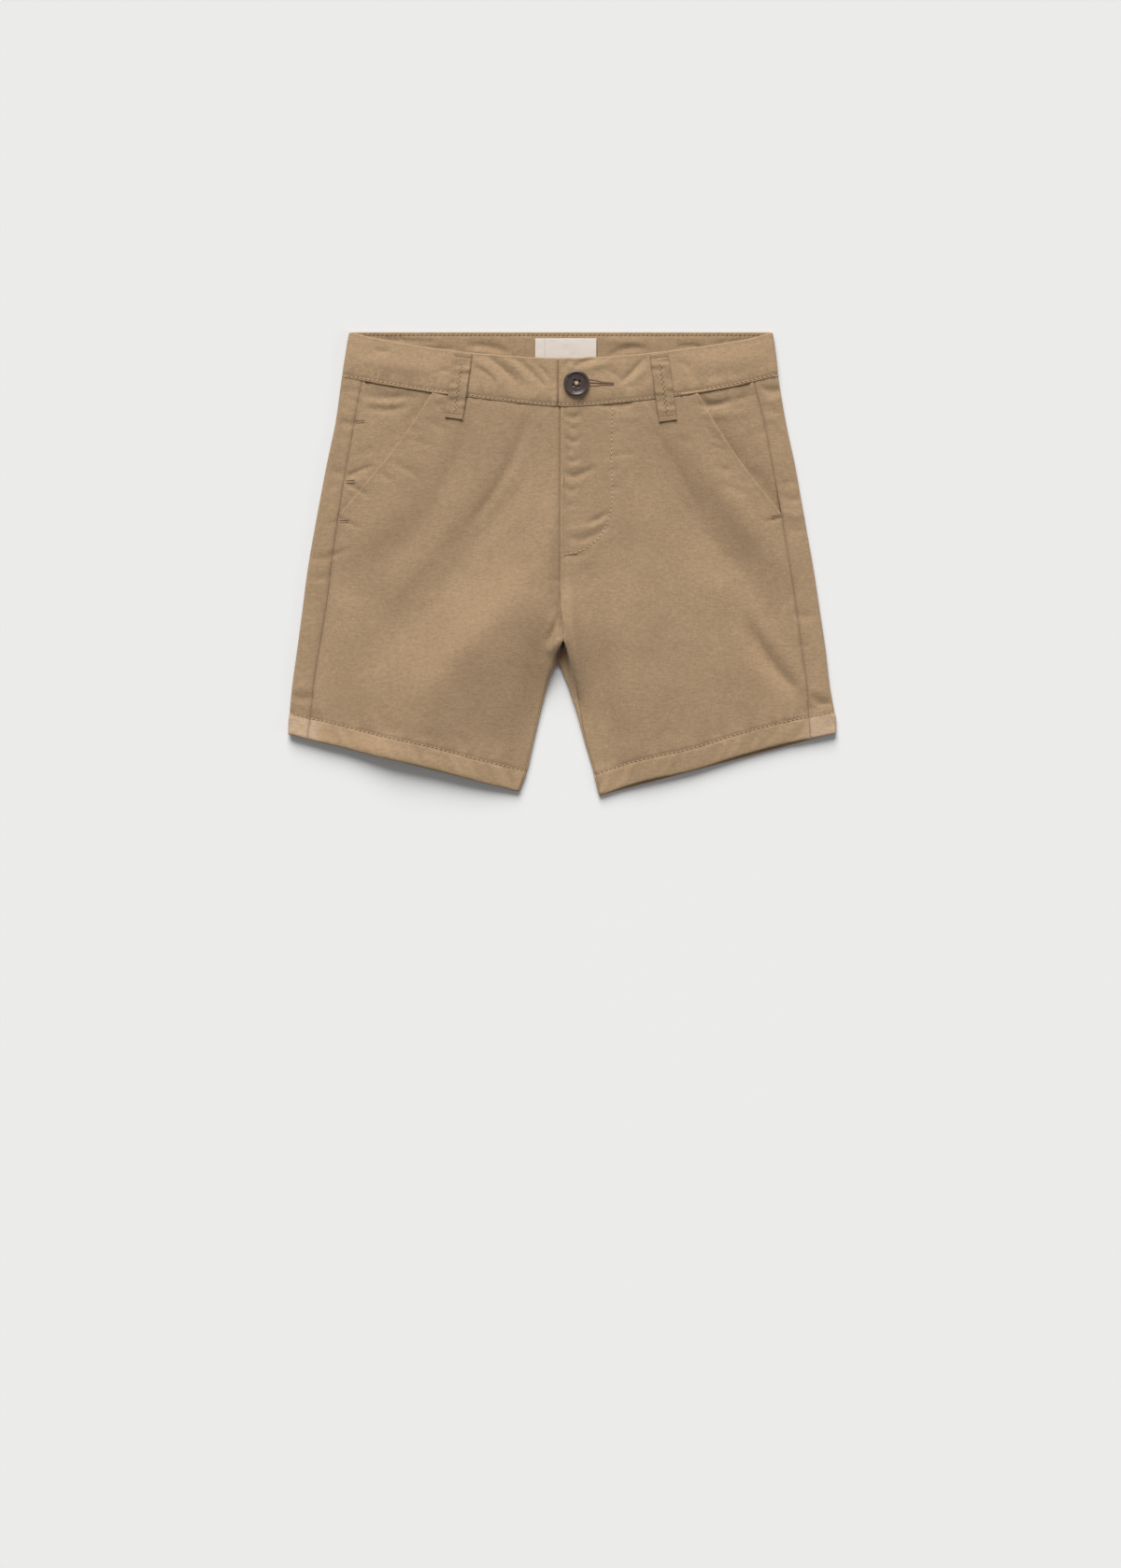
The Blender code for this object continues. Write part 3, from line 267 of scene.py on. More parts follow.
# Soft folds of each leg, right -1 and left 1, which run on past its edges: points, height (a
# trough is negative), and half widths on the left and the right of the way that the points go
MAIN_RIDGE = [(20.9, 73.7), (1.1, 24.2), (-13.2, -9.9), (-27.5, -28.1), (-49.5, -51.7),
              (-71.5, -77.6), (-94.6, -110.6), (-122.1, -157.3)]
DRAPES = [
    Drape(-1, MAIN_RIDGE, 6.3, 34, 17),
    Drape(-1, [(-5.5, 101.2), (-19.8, 68.2), (-29.7, 40.7), (-42.4, 21.5), (-58.9, 2.2),
          (-75.4, -17.1)], -2.0, 7, 8),
    Drape(-1, [(-23.1, 46.2), (-47.9, 7.7), (-75.4, -19.8), (-102.9, -47.3),
          (-133.1, -69.3)], -3.3, 15, 15),
    Drape(-1, [(-51.7, 95.7), (-59.4, 57.2), (-75.4, 27.0), (-93.5, 5.0),
          (-127.6, -28.1)], -0.6, 8, 9),
    Drape(-1, [(-149.6, 24.2), (-124.9, -9.9), (-89.1, -47.3)], -1.1, 12, 12),
    Drape(-1, [(-126.5, 46.2), (-138.6, -30.8), (-149.6, -118.8)], -1.6, 5, 5),
    Drape(-1, [(-23.1, -19.8), (-6.6, -52.8), (-19.8, -102.3), (-28.6, -162.8)], -1.6, 10, 22),
    Drape(-1, [(-80.9, 90.2), (-100.1, 35.2), (-138.6, -8.8)], 1.8, 12, 12),
    Drape(1, [(42.9, 95.7), (56.7, 54.5), (72.1, 32.5), (85.2, 13.2), (102.3, -4.4),
          (115.5, -24.2), (147.4, -69.3)], -2.9, 9, 18),
    Drape(1, [(67.7, 95.7), (78.7, 65.5), (96.8, 38.0), (112.2, 18.7),
          (147.4, -19.8)], 2.8, 10, 10),
    Drape(1, [(31.9, 95.7), (47.3, 24.2), (53.9, -19.8), (68.2, -96.8)], 1.9, 12, 12),
    Drape(1, [(94.6, -14.3), (122.1, -57.2), (155.1, -99.0)], -2.0, 5, 7),
    Drape(1, [(1.1, 35.2), (3.9, -19.8), (6.1, -46.2), (11.6, -80.3), (27.5, -146.3)], 3.0, 4, 4),
    Drape(1, [(-3.3, -19.8), (1.1, -63.8), (8.8, -96.8), (20.9, -162.8)], -3.1, 20, 10),
    Drape(1, [(-1.1, -30.8), (3.3, -63.8), (11.0, -96.8), (20.9, -151.8)], -2.6, 6, 6),
    Drape(1, [(20.9, 24.2), (17.6, -19.8), (20.9, -63.8), (31.9, -129.8)], -0.9, 7, 7),
    Drape(1, [(-23.1, -141.9), (64.9, -126.5), (119.9, -111.1), (213.4, -85.8)], -0.5, 18, 18),
    Drape(0, [(-2.2, -8.8), (0.0, -35.2), (2.2, -61.6), (1.1, -91.3)], 6.4, 14, 14),
    Drape(1, [(20.9, 2.2), (29.7, -41.8), (40.7, -91.3), (53.9, -151.8)], 2.4, 34, 13),
    Drape(-1, [(-19.8, -8.8), (-25.3, -47.3), (-34.1, -91.3), (-47.3, -151.8)], 3.2, 13, 30),
    Drape(-1, [(-193.6, -94.6), (-156.2, -100.1), (-111.1, -111.1), (-67.1, -122.1),
          (-12.1, -135.3)], 1.7, 8, 8),
    Drape(1, [(9.9, -136.4), (53.9, -128.7), (97.9, -118.8), (141.9, -106.7),
          (185.9, -94.6)], -0.6, 8, 8),
    Drape(-1, MAIN_RIDGE, 0.9, 12, 28),
    Drape(-1, [(34.1, 95.7), (4.4, 46.2), (-16.5, 7.7), (-34.1, -19.8),
          (-56.1, -47.3)], 1.3, 20, 20),
    Drape(1, [(13.2, 24.2), (19.8, -41.8), (26.4, -91.3), (36.3, -151.8)], 0.9, 30, 9),
    Drape(1, [(53.9, 2.2), (48.4, -52.8), (53.9, -102.3), (70.4, -151.8)], 0.35, 12, 12),
    Drape(-1, [(-1.1, 24.2), (-34.1, -19.8), (-72.6, -63.8), (-111.1, -107.8)], 1.0, 9, 9),
    Drape(1, [(114.4, 95.7), (147.4, 24.2), (163.9, -52.8)], 0.3, 9, 9),
]

# Creases of the fronts, facings and side strips, above all under the waistband and at the pockets
PANEL_CREASES = [
    Crease([(-133.1, 102.9), (-127.6, 100.1), (-121.6, 96.8)], -0.5, 2.2),
    Crease([(-129.8, 84.2), (-125.4, 82.5), (-120.5, 82.0)], -0.5, 1.8),
    Crease([(-134.2, 52.8), (-130.4, 53.9), (-127.1, 54.5)], -0.5, 1.6),
    Crease([(118.8, 100.7), (124.3, 101.2), (129.8, 102.9)], -0.6, 2.0),
    Crease([(117.7, 84.2), (123.2, 85.2), (128.7, 86.9)], 0.4, 2.0),
    Crease([(127.6, 45.7), (132.0, 46.8), (136.4, 48.4)], -0.5, 2.0),
    Crease([(66.0, 74.2), (71.5, 72.1), (77.0, 70.4)], -0.35, 2.4),
    Crease([(85.8, 75.9), (90.2, 73.2), (94.6, 69.9)], -0.4, 2.0),
    Crease([(-78.1, 95.2), (-74.2, 93.5), (-70.4, 92.4)], -0.45, 1.6),
    Crease([(-92.4, 78.7), (-88.0, 77.6), (-83.6, 75.9)], -0.4, 2.0),
    Crease([(-19.8, 86.9), (-27.5, 64.9), (-40.7, 40.7), (-56.1, 19.8)], -0.88, 2.85),
    Crease([(-12.1, 90.2), (-19.8, 64.9), (-31.4, 40.7)], 0.64, 3.99),
    Crease([(-53.4, 86.9), (-61.6, 62.7), (-72.6, 40.7)], -0.48, 3.8),
    Crease([(-72.6, 3.3), (-90.2, -19.8)], -0.32, 3.8),
    Crease([(-77.0, 95.7), (-68.2, 96.8)], 0.48, 1.23),
    Crease([(-117.7, 99.0), (-105.6, 96.8), (-90.2, 98.5)], -0.72, 1.9),
    Crease([(-116.6, 91.3), (-102.9, 89.7), (-88.0, 92.4)], -0.64, 1.8),
    Crease([(-115.5, 95.2), (-102.9, 93.5), (-89.1, 95.7)], 0.48, 1.71),
    Crease([(-129.2, 102.9), (-123.2, 101.8), (-117.7, 99.0)], -0.64, 1.52),
    Crease([(-129.8, 96.8), (-124.3, 95.7), (-117.7, 94.1)], -0.56, 1.52),
    Crease([(-130.9, 92.4), (-124.3, 91.3)], -0.48, 1.33),
    Crease([(-132.0, 83.6), (-126.5, 82.0), (-119.9, 83.6)], -0.64, 1.33),
    Crease([(-134.2, 75.9), (-127.6, 73.7), (-122.1, 74.8)], -0.32, 1.52),
    Crease([(-129.8, 50.6), (-121.0, 53.9), (-110.0, 57.8)], -0.72, 1.33),
    Crease([(-128.7, 47.3), (-121.0, 44.0), (-113.3, 38.5)], -0.64, 1.33),
    Crease([(-136.4, 55.0), (-128.7, 51.2)], -0.48, 1.23),
    Crease([(-138.6, 43.5), (-129.8, 47.3)], -0.4, 1.23),
    Crease([(-125.4, 49.5), (-114.4, 49.0)], 0.56, 1.9),
    Crease([(-133.1, 26.4), (-126.5, 24.2), (-118.8, 20.4)], -0.64, 1.42),
    Crease([(-138.6, 22.6), (-132.0, 24.2)], -0.48, 1.33),
    Crease([(-148.5, 3.9), (-141.4, 2.8), (-134.8, 5.0), (-124.3, 8.8)], -0.72, 1.61),
    Crease([(-149.1, -7.7), (-143.0, -8.8), (-135.3, -6.6)], -0.64, 1.52),
    Crease([(-151.8, -28.1), (-144.1, -29.7)], -0.32, 1.9),
    Crease([(-159.0, -77.6), (-152.4, -79.8), (-145.2, -78.1)], -0.88, 2.18),
    Crease([(-157.3, -73.7), (-149.6, -72.6)], 0.48, 1.9),
    Crease([(-108.9, 53.9), (-100.1, 48.4)], -0.48, 1.9),
    Crease([(-101.2, 61.6), (-89.1, 52.8)], -0.4, 1.9),
    Crease([(-90.2, 57.2), (-82.5, 46.2)], -0.32, 1.9),
    Crease([(-80.9, 83.6), (-67.1, 78.1)], -0.4, 1.71),
    Crease([(-90.2, 73.7), (-73.7, 67.1)], -0.32, 1.9),
    Crease([(53.9, 78.1), (66.0, 57.2), (82.5, 28.6)], -0.64, 3.42),
    Crease([(22.0, 93.5), (31.9, 91.9), (42.9, 94.1)], -0.8, 1.71),
    Crease([(26.4, 86.9), (38.5, 85.2), (49.5, 86.9)], 0.4, 2.09),
    Crease([(77.0, 94.1), (84.7, 92.4), (91.3, 93.5), (100.1, 96.3)], -0.96, 1.71),
    Crease([(100.1, 95.7), (108.9, 97.4)], -0.64, 1.52),
    Crease([(79.2, 88.0), (90.2, 86.4), (100.1, 90.2)], 0.56, 2.09),
    Crease([(82.5, 80.3), (91.3, 75.9)], -0.4, 1.52),
    Crease([(86.9, 69.3), (96.8, 66.0)], -0.48, 1.71),
    Crease([(89.7, 57.2), (100.7, 52.8)], -0.48, 1.71),
    Crease([(92.4, 46.2), (108.9, 40.7)], -0.4, 2.09),
    Crease([(115.5, 104.0), (122.1, 101.8), (128.7, 102.9)], -0.96, 1.61),
    Crease([(116.6, 96.3), (123.2, 95.2), (129.8, 97.4)], 0.56, 1.9),
    Crease([(121.0, 89.7), (129.8, 88.0)], -0.4, 1.52),
    Crease([(127.1, 40.7), (135.3, 37.4), (143.0, 40.7)], -0.64, 1.9),
    Crease([(128.7, 30.8), (136.4, 28.1), (143.0, 29.7)], 0.72, 2.66),
    Crease([(129.8, 20.9), (136.4, 19.2), (144.1, 21.5)], -0.4, 1.61),
    Crease([(134.2, -28.6), (141.9, -31.4), (149.6, -29.2)], -0.64, 2.09),
    Crease([(137.5, -47.3), (146.3, -49.5)], -0.32, 1.9),
    Crease([(145.2, -78.1), (152.9, -82.0), (159.5, -80.9)], -0.88, 2.09),
    Crease([(145.2, -73.7), (155.1, -75.9)], 0.48, 1.9),
    Crease([(117.7, 23.7), (124.3, 25.9), (129.8, 28.1)], -0.64, 1.33),
    Crease([(115.5, 30.8), (117.2, 18.7), (119.9, 6.6)], -0.48, 1.42),
    Crease([(108.9, -35.2), (125.4, -62.7), (140.8, -77.0)], -0.64, 3.04),
    Crease([(-4.4, -23.1), (-2.2, -30.8), (-0.8, -41.2)], -1.28, 1.61),
    Crease([(-8.8, -52.8), (-5.0, -48.4), (-1.1, -44.0)], 0.88, 2.18),
    Crease([(-9.9, -47.3), (-6.6, -41.8), (-3.3, -35.2)], -0.8, 1.8),
    Crease([(-6.6, -9.4), (-1.1, -10.5)], -0.4, 0.95),
    Crease([(-1.7, -17.6), (-1.1, -31.9), (0.6, -44.0)], -0.9, 1.3),
    Crease([(-2.2, -29.7), (-5.5, -39.6), (-8.2, -50.6)], -0.9, 1.5),
    Crease([(1.1, -42.9), (-2.8, -48.4), (-7.2, -55.0)], 0.9, 2.2),
    Crease([(-166.1, -99.0), (-149.6, -105.1), (-132.0, -110.0)], 1.2, 4.5),
    Crease([(-165.0, -84.7), (-150.7, -89.1), (-135.3, -92.4)], -0.7, 4.0),
    Crease([(134.2, -109.5), (150.7, -105.1), (166.1, -99.0)], 1.2, 4.5),
    Crease([(136.4, -89.1), (149.6, -85.8), (162.8, -81.4)], -0.7, 4.0),
]

# Puckers between the fly's edge and its stitching, only on the wearer's left front
FLY_CREASES = [
    Crease([(0.6, 86.9), (5.5, 85.2), (12.1, 87.5)], -1.02, 1.71),
    Crease([(1.7, 82.0), (6.6, 78.7), (11.0, 80.3)], -0.51, 1.42),
    Crease([(1.7, 74.8), (6.6, 71.0), (11.6, 74.2)], -0.68, 1.52),
    Crease([(1.1, 67.1), (6.6, 65.5)], -0.34, 1.42),
    Crease([(1.7, 61.6), (6.1, 59.4), (11.0, 62.2)], -0.68, 1.52),
    Crease([(0.0, 53.4), (6.1, 50.6), (12.1, 52.8), (19.8, 56.1)], -1.02, 1.8),
    Crease([(1.1, 45.1), (5.5, 42.4), (10.5, 45.1)], -0.59, 1.52),
    Crease([(1.1, 34.7), (7.7, 33.6)], -0.34, 1.52),
    Crease([(14.9, 22.6), (20.9, 25.9), (27.5, 29.7)], -1.1, 1.52),
    Crease([(1.1, 15.4), (9.9, 13.8), (18.7, 16.5), (27.5, 22.6)], -0.77, 1.8),
    Crease([(1.1, 5.5), (8.8, 3.9), (16.5, 7.2)], -0.51, 1.42),
    Crease([(2.2, 19.2), (13.2, 20.4), (24.2, 24.8)], 0.51, 2.09),
    Crease([(3.3, 56.1), (12.1, 57.8)], 0.42, 1.9),
    Crease([(26.4, 61.1), (33.0, 63.3), (42.9, 64.4)], -0.42, 1.42),
    Crease([(25.3, 52.8), (34.1, 56.1)], -0.34, 1.42),
    Crease([(27.0, 41.8), (34.1, 45.7)], -0.34, 1.42),
    Crease([(27.5, 73.7), (33.0, 78.1)], -0.34, 1.42),
    Crease([(28.6, 84.7), (34.1, 88.0)], -0.34, 1.42),
]

# Creases of the pocket facings; the wearer's left pocket gapes at its lower end
FACING_CREASES = [
    Crease([(81.4, 90.2), (101.2, 61.6), (115.5, 42.9), (132.0, 23.1)], -1.6, 5.0),
    Crease([(112.2, 57.2), (124.3, 39.6), (132.0, 26.4)], -1.2, 5.0),
    Crease([(-116.6, 101.8), (-94.6, 97.4), (-79.2, 97.4)], -0.55, 3.0),
    Crease([(-112.2, 93.0), (-103.4, 91.3), (-93.5, 90.8)], -0.35, 2.6),
    Crease([(-124.3, 62.2), (-116.6, 64.9), (-108.9, 68.2)], -0.4, 2.8),
    Crease([(-128.2, 47.9), (-122.7, 51.7), (-117.2, 48.4)], -0.5, 1.6),
    Crease([(-126.5, 42.4), (-121.0, 44.0), (-116.6, 46.8)], 0.35, 1.8),
    Crease([(79.8, 97.4), (86.9, 93.5), (100.7, 95.2)], -0.8, 1.7),
    Crease([(103.4, 98.5), (108.9, 98.5), (113.9, 99.6)], -0.4, 2.0),
    Crease([(93.5, 86.4), (104.5, 88.0), (112.2, 91.3)], 0.35, 2.4),
    Crease([(106.7, 73.7), (114.4, 75.9), (121.0, 80.3)], -0.3, 2.6),
]

# Creases of the waistband's front
BAND_CREASES = [
    Crease([(-110.0, 126.0), (-105.6, 124.3), (-100.1, 124.9)], -0.59, 1.9),
    Crease([(-45.7, 122.7), (-37.4, 116.1), (-31.4, 110.6), (-25.9, 105.6)], -1.02, 1.9),
    Crease([(-50.6, 119.9), (-41.8, 111.7), (-34.1, 102.9)], 0.59, 2.28),
    Crease([(-29.7, 121.0), (-22.0, 115.5), (-16.5, 110.0), (-9.9, 102.9)], -0.85, 1.9),
    Crease([(-36.3, 121.0), (-27.5, 114.4), (-19.8, 105.1)], 0.59, 2.09),
    Crease([(-17.6, 118.8), (-9.9, 111.1), (-5.0, 104.0)], -0.59, 1.8),
    Crease([(-52.8, 115.0), (-45.1, 111.7), (-37.4, 104.5)], -0.51, 1.61),
    Crease([(-74.8, 111.1), (-69.3, 112.8), (-64.9, 112.2)], -0.51, 1.71),
    Crease([(6.6, 115.0), (14.3, 118.3), (22.0, 120.5)], -1.02, 1.61),
    Crease([(0.6, 112.8), (2.8, 117.2), (5.5, 119.4)], -0.59, 1.52),
    Crease([(12.1, 112.8), (22.0, 116.1), (30.3, 118.8)], 0.59, 2.18),
    Crease([(33.6, 105.1), (40.7, 111.7), (45.1, 116.6), (50.1, 121.0)], -1.02, 1.71),
    Crease([(39.1, 104.0), (45.7, 110.6), (51.7, 115.5)], 0.59, 2.09),
    Crease([(23.1, 113.3), (31.9, 110.0), (36.3, 104.5)], -0.42, 2.09),
    Crease([(66.0, 118.8), (73.2, 115.5), (77.0, 109.5)], -0.42, 2.28),
    Crease([(-127.6, 121.0), (-100.1, 116.1), (-72.6, 113.3)], 0.59, 5.22),
    Crease([(-124.3, 113.9), (-94.6, 108.4), (-68.2, 105.1)], -0.51, 4.27),
    Crease([(73.7, 115.5), (103.4, 120.5), (124.3, 124.3)], 0.51, 5.22),
    Crease([(73.2, 107.3), (103.4, 111.1), (125.4, 115.5)], -0.42, 3.8),
]

# Creases of the back waistband's inside
BACK_BAND_CREASES = [
    Crease([(-85.8, 128.2), (-73.7, 126.5), (-61.6, 127.1)], -0.7, 1.6),
    Crease([(-118.8, 134.2), (-100.1, 132.0), (-72.6, 130.4)], -0.8, 1.6),
    Crease([(86.9, 129.2), (103.4, 130.9), (117.7, 133.1)], -0.7, 1.6),
    Crease([(-56.7, 128.2), (-46.2, 128.2), (-37.4, 126.5), (-30.3, 123.8)], -1.2, 2.2),
    Crease([(-57.2, 125.4), (-45.1, 124.3), (-35.2, 121.6)], 0.9, 1.9),
    Crease([(26.4, 122.1), (33.0, 125.4), (39.6, 127.1), (49.5, 126.5)], -1.1, 2.0),
    Crease([(67.1, 127.6), (75.9, 128.2), (85.2, 127.1)], -1.0, 1.5),
    Crease([(20.9, 130.9), (37.4, 130.9), (53.9, 129.8)], 0.6, 2.2),
    Crease([(-103.4, 134.2), (-101.8, 130.4)], -0.6, 0.9),
    Crease([(-99.6, 134.2), (-97.9, 130.4)], -0.5, 0.9),
    Crease([(-95.7, 134.2), (-93.5, 130.9)], -0.6, 0.9),
    Crease([(96.8, 134.2), (95.7, 130.4)], -0.6, 0.9),
    Crease([(100.7, 134.2), (100.1, 130.4)], -0.5, 0.9),
    Crease([(104.5, 134.2), (104.5, 130.9)], -0.6, 0.9),
]

# The curved stitching of the fly, and the shallow creases of the underside
FLY_GROOVE = [
    Crease([(29.2, 91.5), (28.7, 60.0), (28.5, 32.5), (26.4, 24.0), (20.9, 14.5), (12.7, 8.2),
            (0.2, 4.6)], -0.3, 0.9),
]
UNDER_CREASES = [
    Crease([(-12, -52), (-48, -60), (-92, -88)], -0.7, 5.0),
    Crease([(-8, -30), (-40, -22), (-88, -36)], -0.5, 4.0),
    Crease([(10, -50), (46, -64), (86, -84)], -0.7, 5.0),
    Crease([(8, -28), (44, -18), (84, -30)], -0.5, 4.0),
    Crease([(-120, 96), (-96, 90), (-70, 94)], -0.45, 2.4),
    Crease([(112, 98), (90, 91), (66, 95)], -0.45, 2.4),
    Crease([(-60, 104), (-56, 80), (-44, 58)], -0.5, 3.2),
    Crease([(58, 104), (50, 78), (46, 52)], -0.5, 3.2),
    Crease([(-140, -20), (-118, -26), (-100, -20)], -0.4, 2.6),
    Crease([(140, -8), (120, -14), (104, -6)], -0.4, 2.6),
]

# ---------------------------------------------------------------- curves


def smooth(at, values, where):
    """Cubic curve through values at the positions at, read at where."""
    at = np.asarray(at, float)
    values = np.asarray(values, float)
    slopes = np.gradient(values, at)
    where = np.asarray(where, float)
    i = np.clip(np.searchsorted(at, where) - 1, 0, len(at) - 2)
    step = at[i + 1] - at[i]
    t = np.clip((where - at[i]) / step, 0.0, 1.0)
    rise = (2 * t**3 - 3 * t**2 + 1) * values[i] + (3 * t**2 - 2 * t**3) * values[i + 1]
    bend = (t**3 - 2 * t**2 + t) * slopes[i] + (t**3 - t**2) * slopes[i + 1]
    return rise + step * bend


def column(rows, name):
    return [getattr(row, name) for row in rows]


def section(name, y):
    return smooth(column(SECTIONS, "y"), column(SECTIONS, name), y)


def waist(name, across):
    return smooth(column(WAIST, "across"), column(WAIST, name), across)


def inner_leg(side, name, part):
    """A column of the inner leg table; part runs from 0 at the crotch to 1 at the hem."""
    run = run_along([(row.seam_x, row.seam_y) for row in side.inner])
    return smooth(run / run[-1], column(side.inner, name), part)


def slant(side, part):
    """Point on the pocket mouth; part runs from 0 at the waistband to 1 at the side seam."""
    at = np.linspace(0, 1, len(SLANT))
    return (smooth(at, column(SLANT, side.slant_x), part),
            smooth(at, column(SLANT, side.slant_y), part))


def run_along(points):
    """How far along a chain of points each of them lies."""
    steps = np.linalg.norm(np.diff(np.asarray(points, float), axis=0), axis=1)
    return np.concatenate([[0], np.cumsum(steps)])


def read_at(at, run, rows):
    """Rows of three numbers, such as a chain's points, read at the given distances along it."""
    return np.stack([np.interp(at, run, rows[:, k]) for k in range(3)], axis=-1)


def grids(x, y):
    """x and y as arrays of one shape."""
    return np.broadcast_arrays(np.asarray(x, float), np.asarray(y, float))


def bell(off, wide):
    """1 where off is 0, falling away over about the given width."""
    return np.exp(-(off / wide)**2)


def ramp(low, high, value):
    """0 up to low, 1 from high on, and a soft rise between them."""
    t = np.clip((np.asarray(value, float) - low) / (high - low), 0.0, 1.0)
    return t * t * (3 - 2 * t)


def distance_to(path, x, y):
    """Distance from each point to a line of short runs, how far along it the nearest place lies,
    and the point's side of it: 1 on the right of the way the line goes, -1 on the left."""
    px, py = path
    run_x, run_y = np.diff(px), np.diff(py)
    off_x = np.asarray(x, float)[..., None] - px[:-1]
    off_y = np.asarray(y, float)[..., None] - py[:-1]
    t = np.clip((off_x * run_x + off_y * run_y) / (run_x**2 + run_y**2), 0, 1)
    far = np.hypot(off_x - t * run_x, off_y - t * run_y)
    k = far.argmin(axis=-1)[..., None]
    far, t, cross = (np.take_along_axis(v, k, -1)[..., 0]
                     for v in (far, t, off_x * run_y - off_y * run_x))
    return far, (k[..., 0] + t) / len(run_x), np.where(cross >= 0, 1, -1)


def bow(fold, steps=16):
    """Chain of points along a fold's line."""
    t = np.linspace(0, 1, steps)[:, None]
    start, middle, end = (np.array(p, float) for p in (fold.start, fold.middle, fold.end))
    bend = 2 * middle - 0.5 * (start + end)
    points = (1 - t)**2 * start + 2 * t * (1 - t) * bend + t**2 * end
    return points[:, 0], points[:, 1]


# ---------------------------------------------------------------- the form

FOLD_STEPS = 40
INNER_FOLDS = {
    side.name: (inner_leg(side, "fold_x", np.linspace(0, 1, FOLD_STEPS)),
                inner_leg(side, "fold_y", np.linspace(0, 1, FOLD_STEPS)))
    for side in SIDES
}


def centre_line(y):
    """The centre front: down the fly, to the crotch point, and on to the back's fold under it."""
    return np.interp(y, CENTRE_Y, CENTRE_X)


# Where each leg's arch starts on its inner side, as x at each height y
ArchStart = namedtuple("ArchStart", "y right left")
ARCH_STARTS = [
    ArchStart(-137.0, -26.0, 21.6),
    ArchStart(-105.0, -17.0, 13.2),
    ArchStart(-72.0, -8.9, 4.0),
    ArchStart(-48.0, -3.6, 0.2),
    ArchStart(-20.0, -1.1, -1.1),
]


def upper(x, y):
    """Height of the cloth's upper face over the surface, without the inner leg fold."""
    x, y = grids(x, y)
    arch = section("arch", y)
    hips = ramp(*CROTCH_BLEND, y)
    height = np.zeros(x.shape)
    centre = centre_line(y)
    for side in SIDES:
        mine = (x >= centre) == (side.sign > 0)
        fold = section(side.fold, y)
        wide = np.clip((x - centre) / (fold - centre), 0, 1)
        inner = smooth(column(ARCH_STARTS, "y"), column(ARCH_STARTS, side.name), y)
        leg = np.clip((x - inner) / (fold - inner), 0, 1)
        hip_arch = 1 - wide**HIP_FULLNESS
        leg_arch = (4 * leg * (1 - leg))**LEG_FULLNESS
        height += np.where(mine, hips * hip_arch + (1 - hips) * leg_arch, 0)
    level = EDGE_HEIGHT + arch * height
    for fold in FOLDS:
        far, along, _ = distance_to(bow(fold), x, y)
        fade = np.sin(np.pi * along)**FOLD_FADE
        level = level + fold.height * bell(far, fold.spread) * fade
    return level


def normals_of(points, flip=False):
    """Unit normals of a grid of points; not flipped, rows run down and columns to the right."""
    n = np.cross(np.gradient(points, axis=0), np.gradient(points, axis=1))
    size = np.linalg.norm(n, axis=-1, keepdims=True)
    n = np.where(size > 1e-9, n / np.maximum(size, 1e-9), (0.0, 0.0, -1.0 if flip else 1.0))
    return -n if flip else n


def round_fold(edge, outward, height, angles):
    """Points round a fold: angle 0 is the flat lower face and pi the upper one."""
    half = height[..., None] / 2
    reach = FOLD_REACH * (np.sin(angles) - 1)
    xy = edge[..., None, :] + reach[..., None] * outward[..., None, :]
    z = half * (1 - np.cos(angles))
    return np.concatenate([xy, z[..., None]], axis=-1)


# ---------------------------------------------------------------- creases


def chain(crease):
    """Chain of points on a smooth curve through a crease's points."""
    p = np.array(crease.points, float)
    run = run_along(p)
    fine = np.linspace(0, run[-1], 6 * len(p))
    return smooth(run, p[:, 0], fine), smooth(run, p[:, 1], fine)


def pressed(creases, x, y):
    """Height that creases add at each point."""
    x, y = grids(x, y)
    total = np.zeros(x.shape)
    for crease in creases:
        px, py = chain(crease)
        reach = 2.5 * crease.wide
        near = ((x > px.min() - reach) & (x < px.max() + reach)
                & (y > py.min() - reach) & (y < py.max() + reach))
        if near.any():
            far, along, _ = distance_to((px, py), x[near], y[near])
            fade = np.sin(np.pi * along)**CREASE_FADE
            total[near] += crease.height * bell(far, crease.wide) * fade
    return total


def draped(x, y):
    """Height that the soft folds of each leg add at each point."""
    x, y = grids(x, y)
    total = np.zeros(x.shape)
    past = x - centre_line(y)
    for fold in DRAPES:
        far, along, side = distance_to(chain(fold), x, y)
        wide = np.where(side > 0, fold.right, fold.left)
        own = ramp(*LEG_BLEND, past * fold.leg) if fold.leg else 1.0
        total += fold.height * bell(far, wide) * np.sin(np.pi * along)**DRAPE_FADE * own
    return total


NOISE_CELLS = 96        # the bumps come again after so many
NOISE_SHIFT = 300.5     # keeps the piece clear of the first cell


def noise(x, y, size, seed):
    """Smooth random bumps from -1 to 1, about size apart."""
    count = NOISE_CELLS
    lattice = np.random.default_rng(seed).uniform(-1, 1, (count + 1, count + 1))
    u, v = np.asarray(x) / size + NOISE_SHIFT, np.asarray(y) / size + NOISE_SHIFT
    i, j = np.floor(u).astype(int), np.floor(v).astype(int)
    fu, fv = ramp(0, 1, u - i), ramp(0, 1, v - j)
    i, j = i % count, j % count
    low = lattice[i, j] * (1 - fu) + lattice[i + 1, j] * fu
    high = lattice[i, j + 1] * (1 - fu) + lattice[i + 1, j + 1] * fu
    return low * (1 - fv) + high * fv


def pressed_flat(x, y):
    """Thickness of the cloth's layers, pressed flat: more where both hems lie over each other."""
    right, left = (hem_near(side, x)[1] for side in SIDES)
    up = y - np.where(x < centre_line(HEM_FOLD_Y), right, left)
    return LOWEST + HEM_FULL * (1 - ramp(HEM_DEPTH - 2.0, HEM_DEPTH + 6.0, up))


def at_least(lowest, level):
    """Level, but smoothly held above the lowest one."""
    return lowest + FLOOR_EASE * np.logaddexp(0.0, (level - lowest) / FLOOR_EASE)


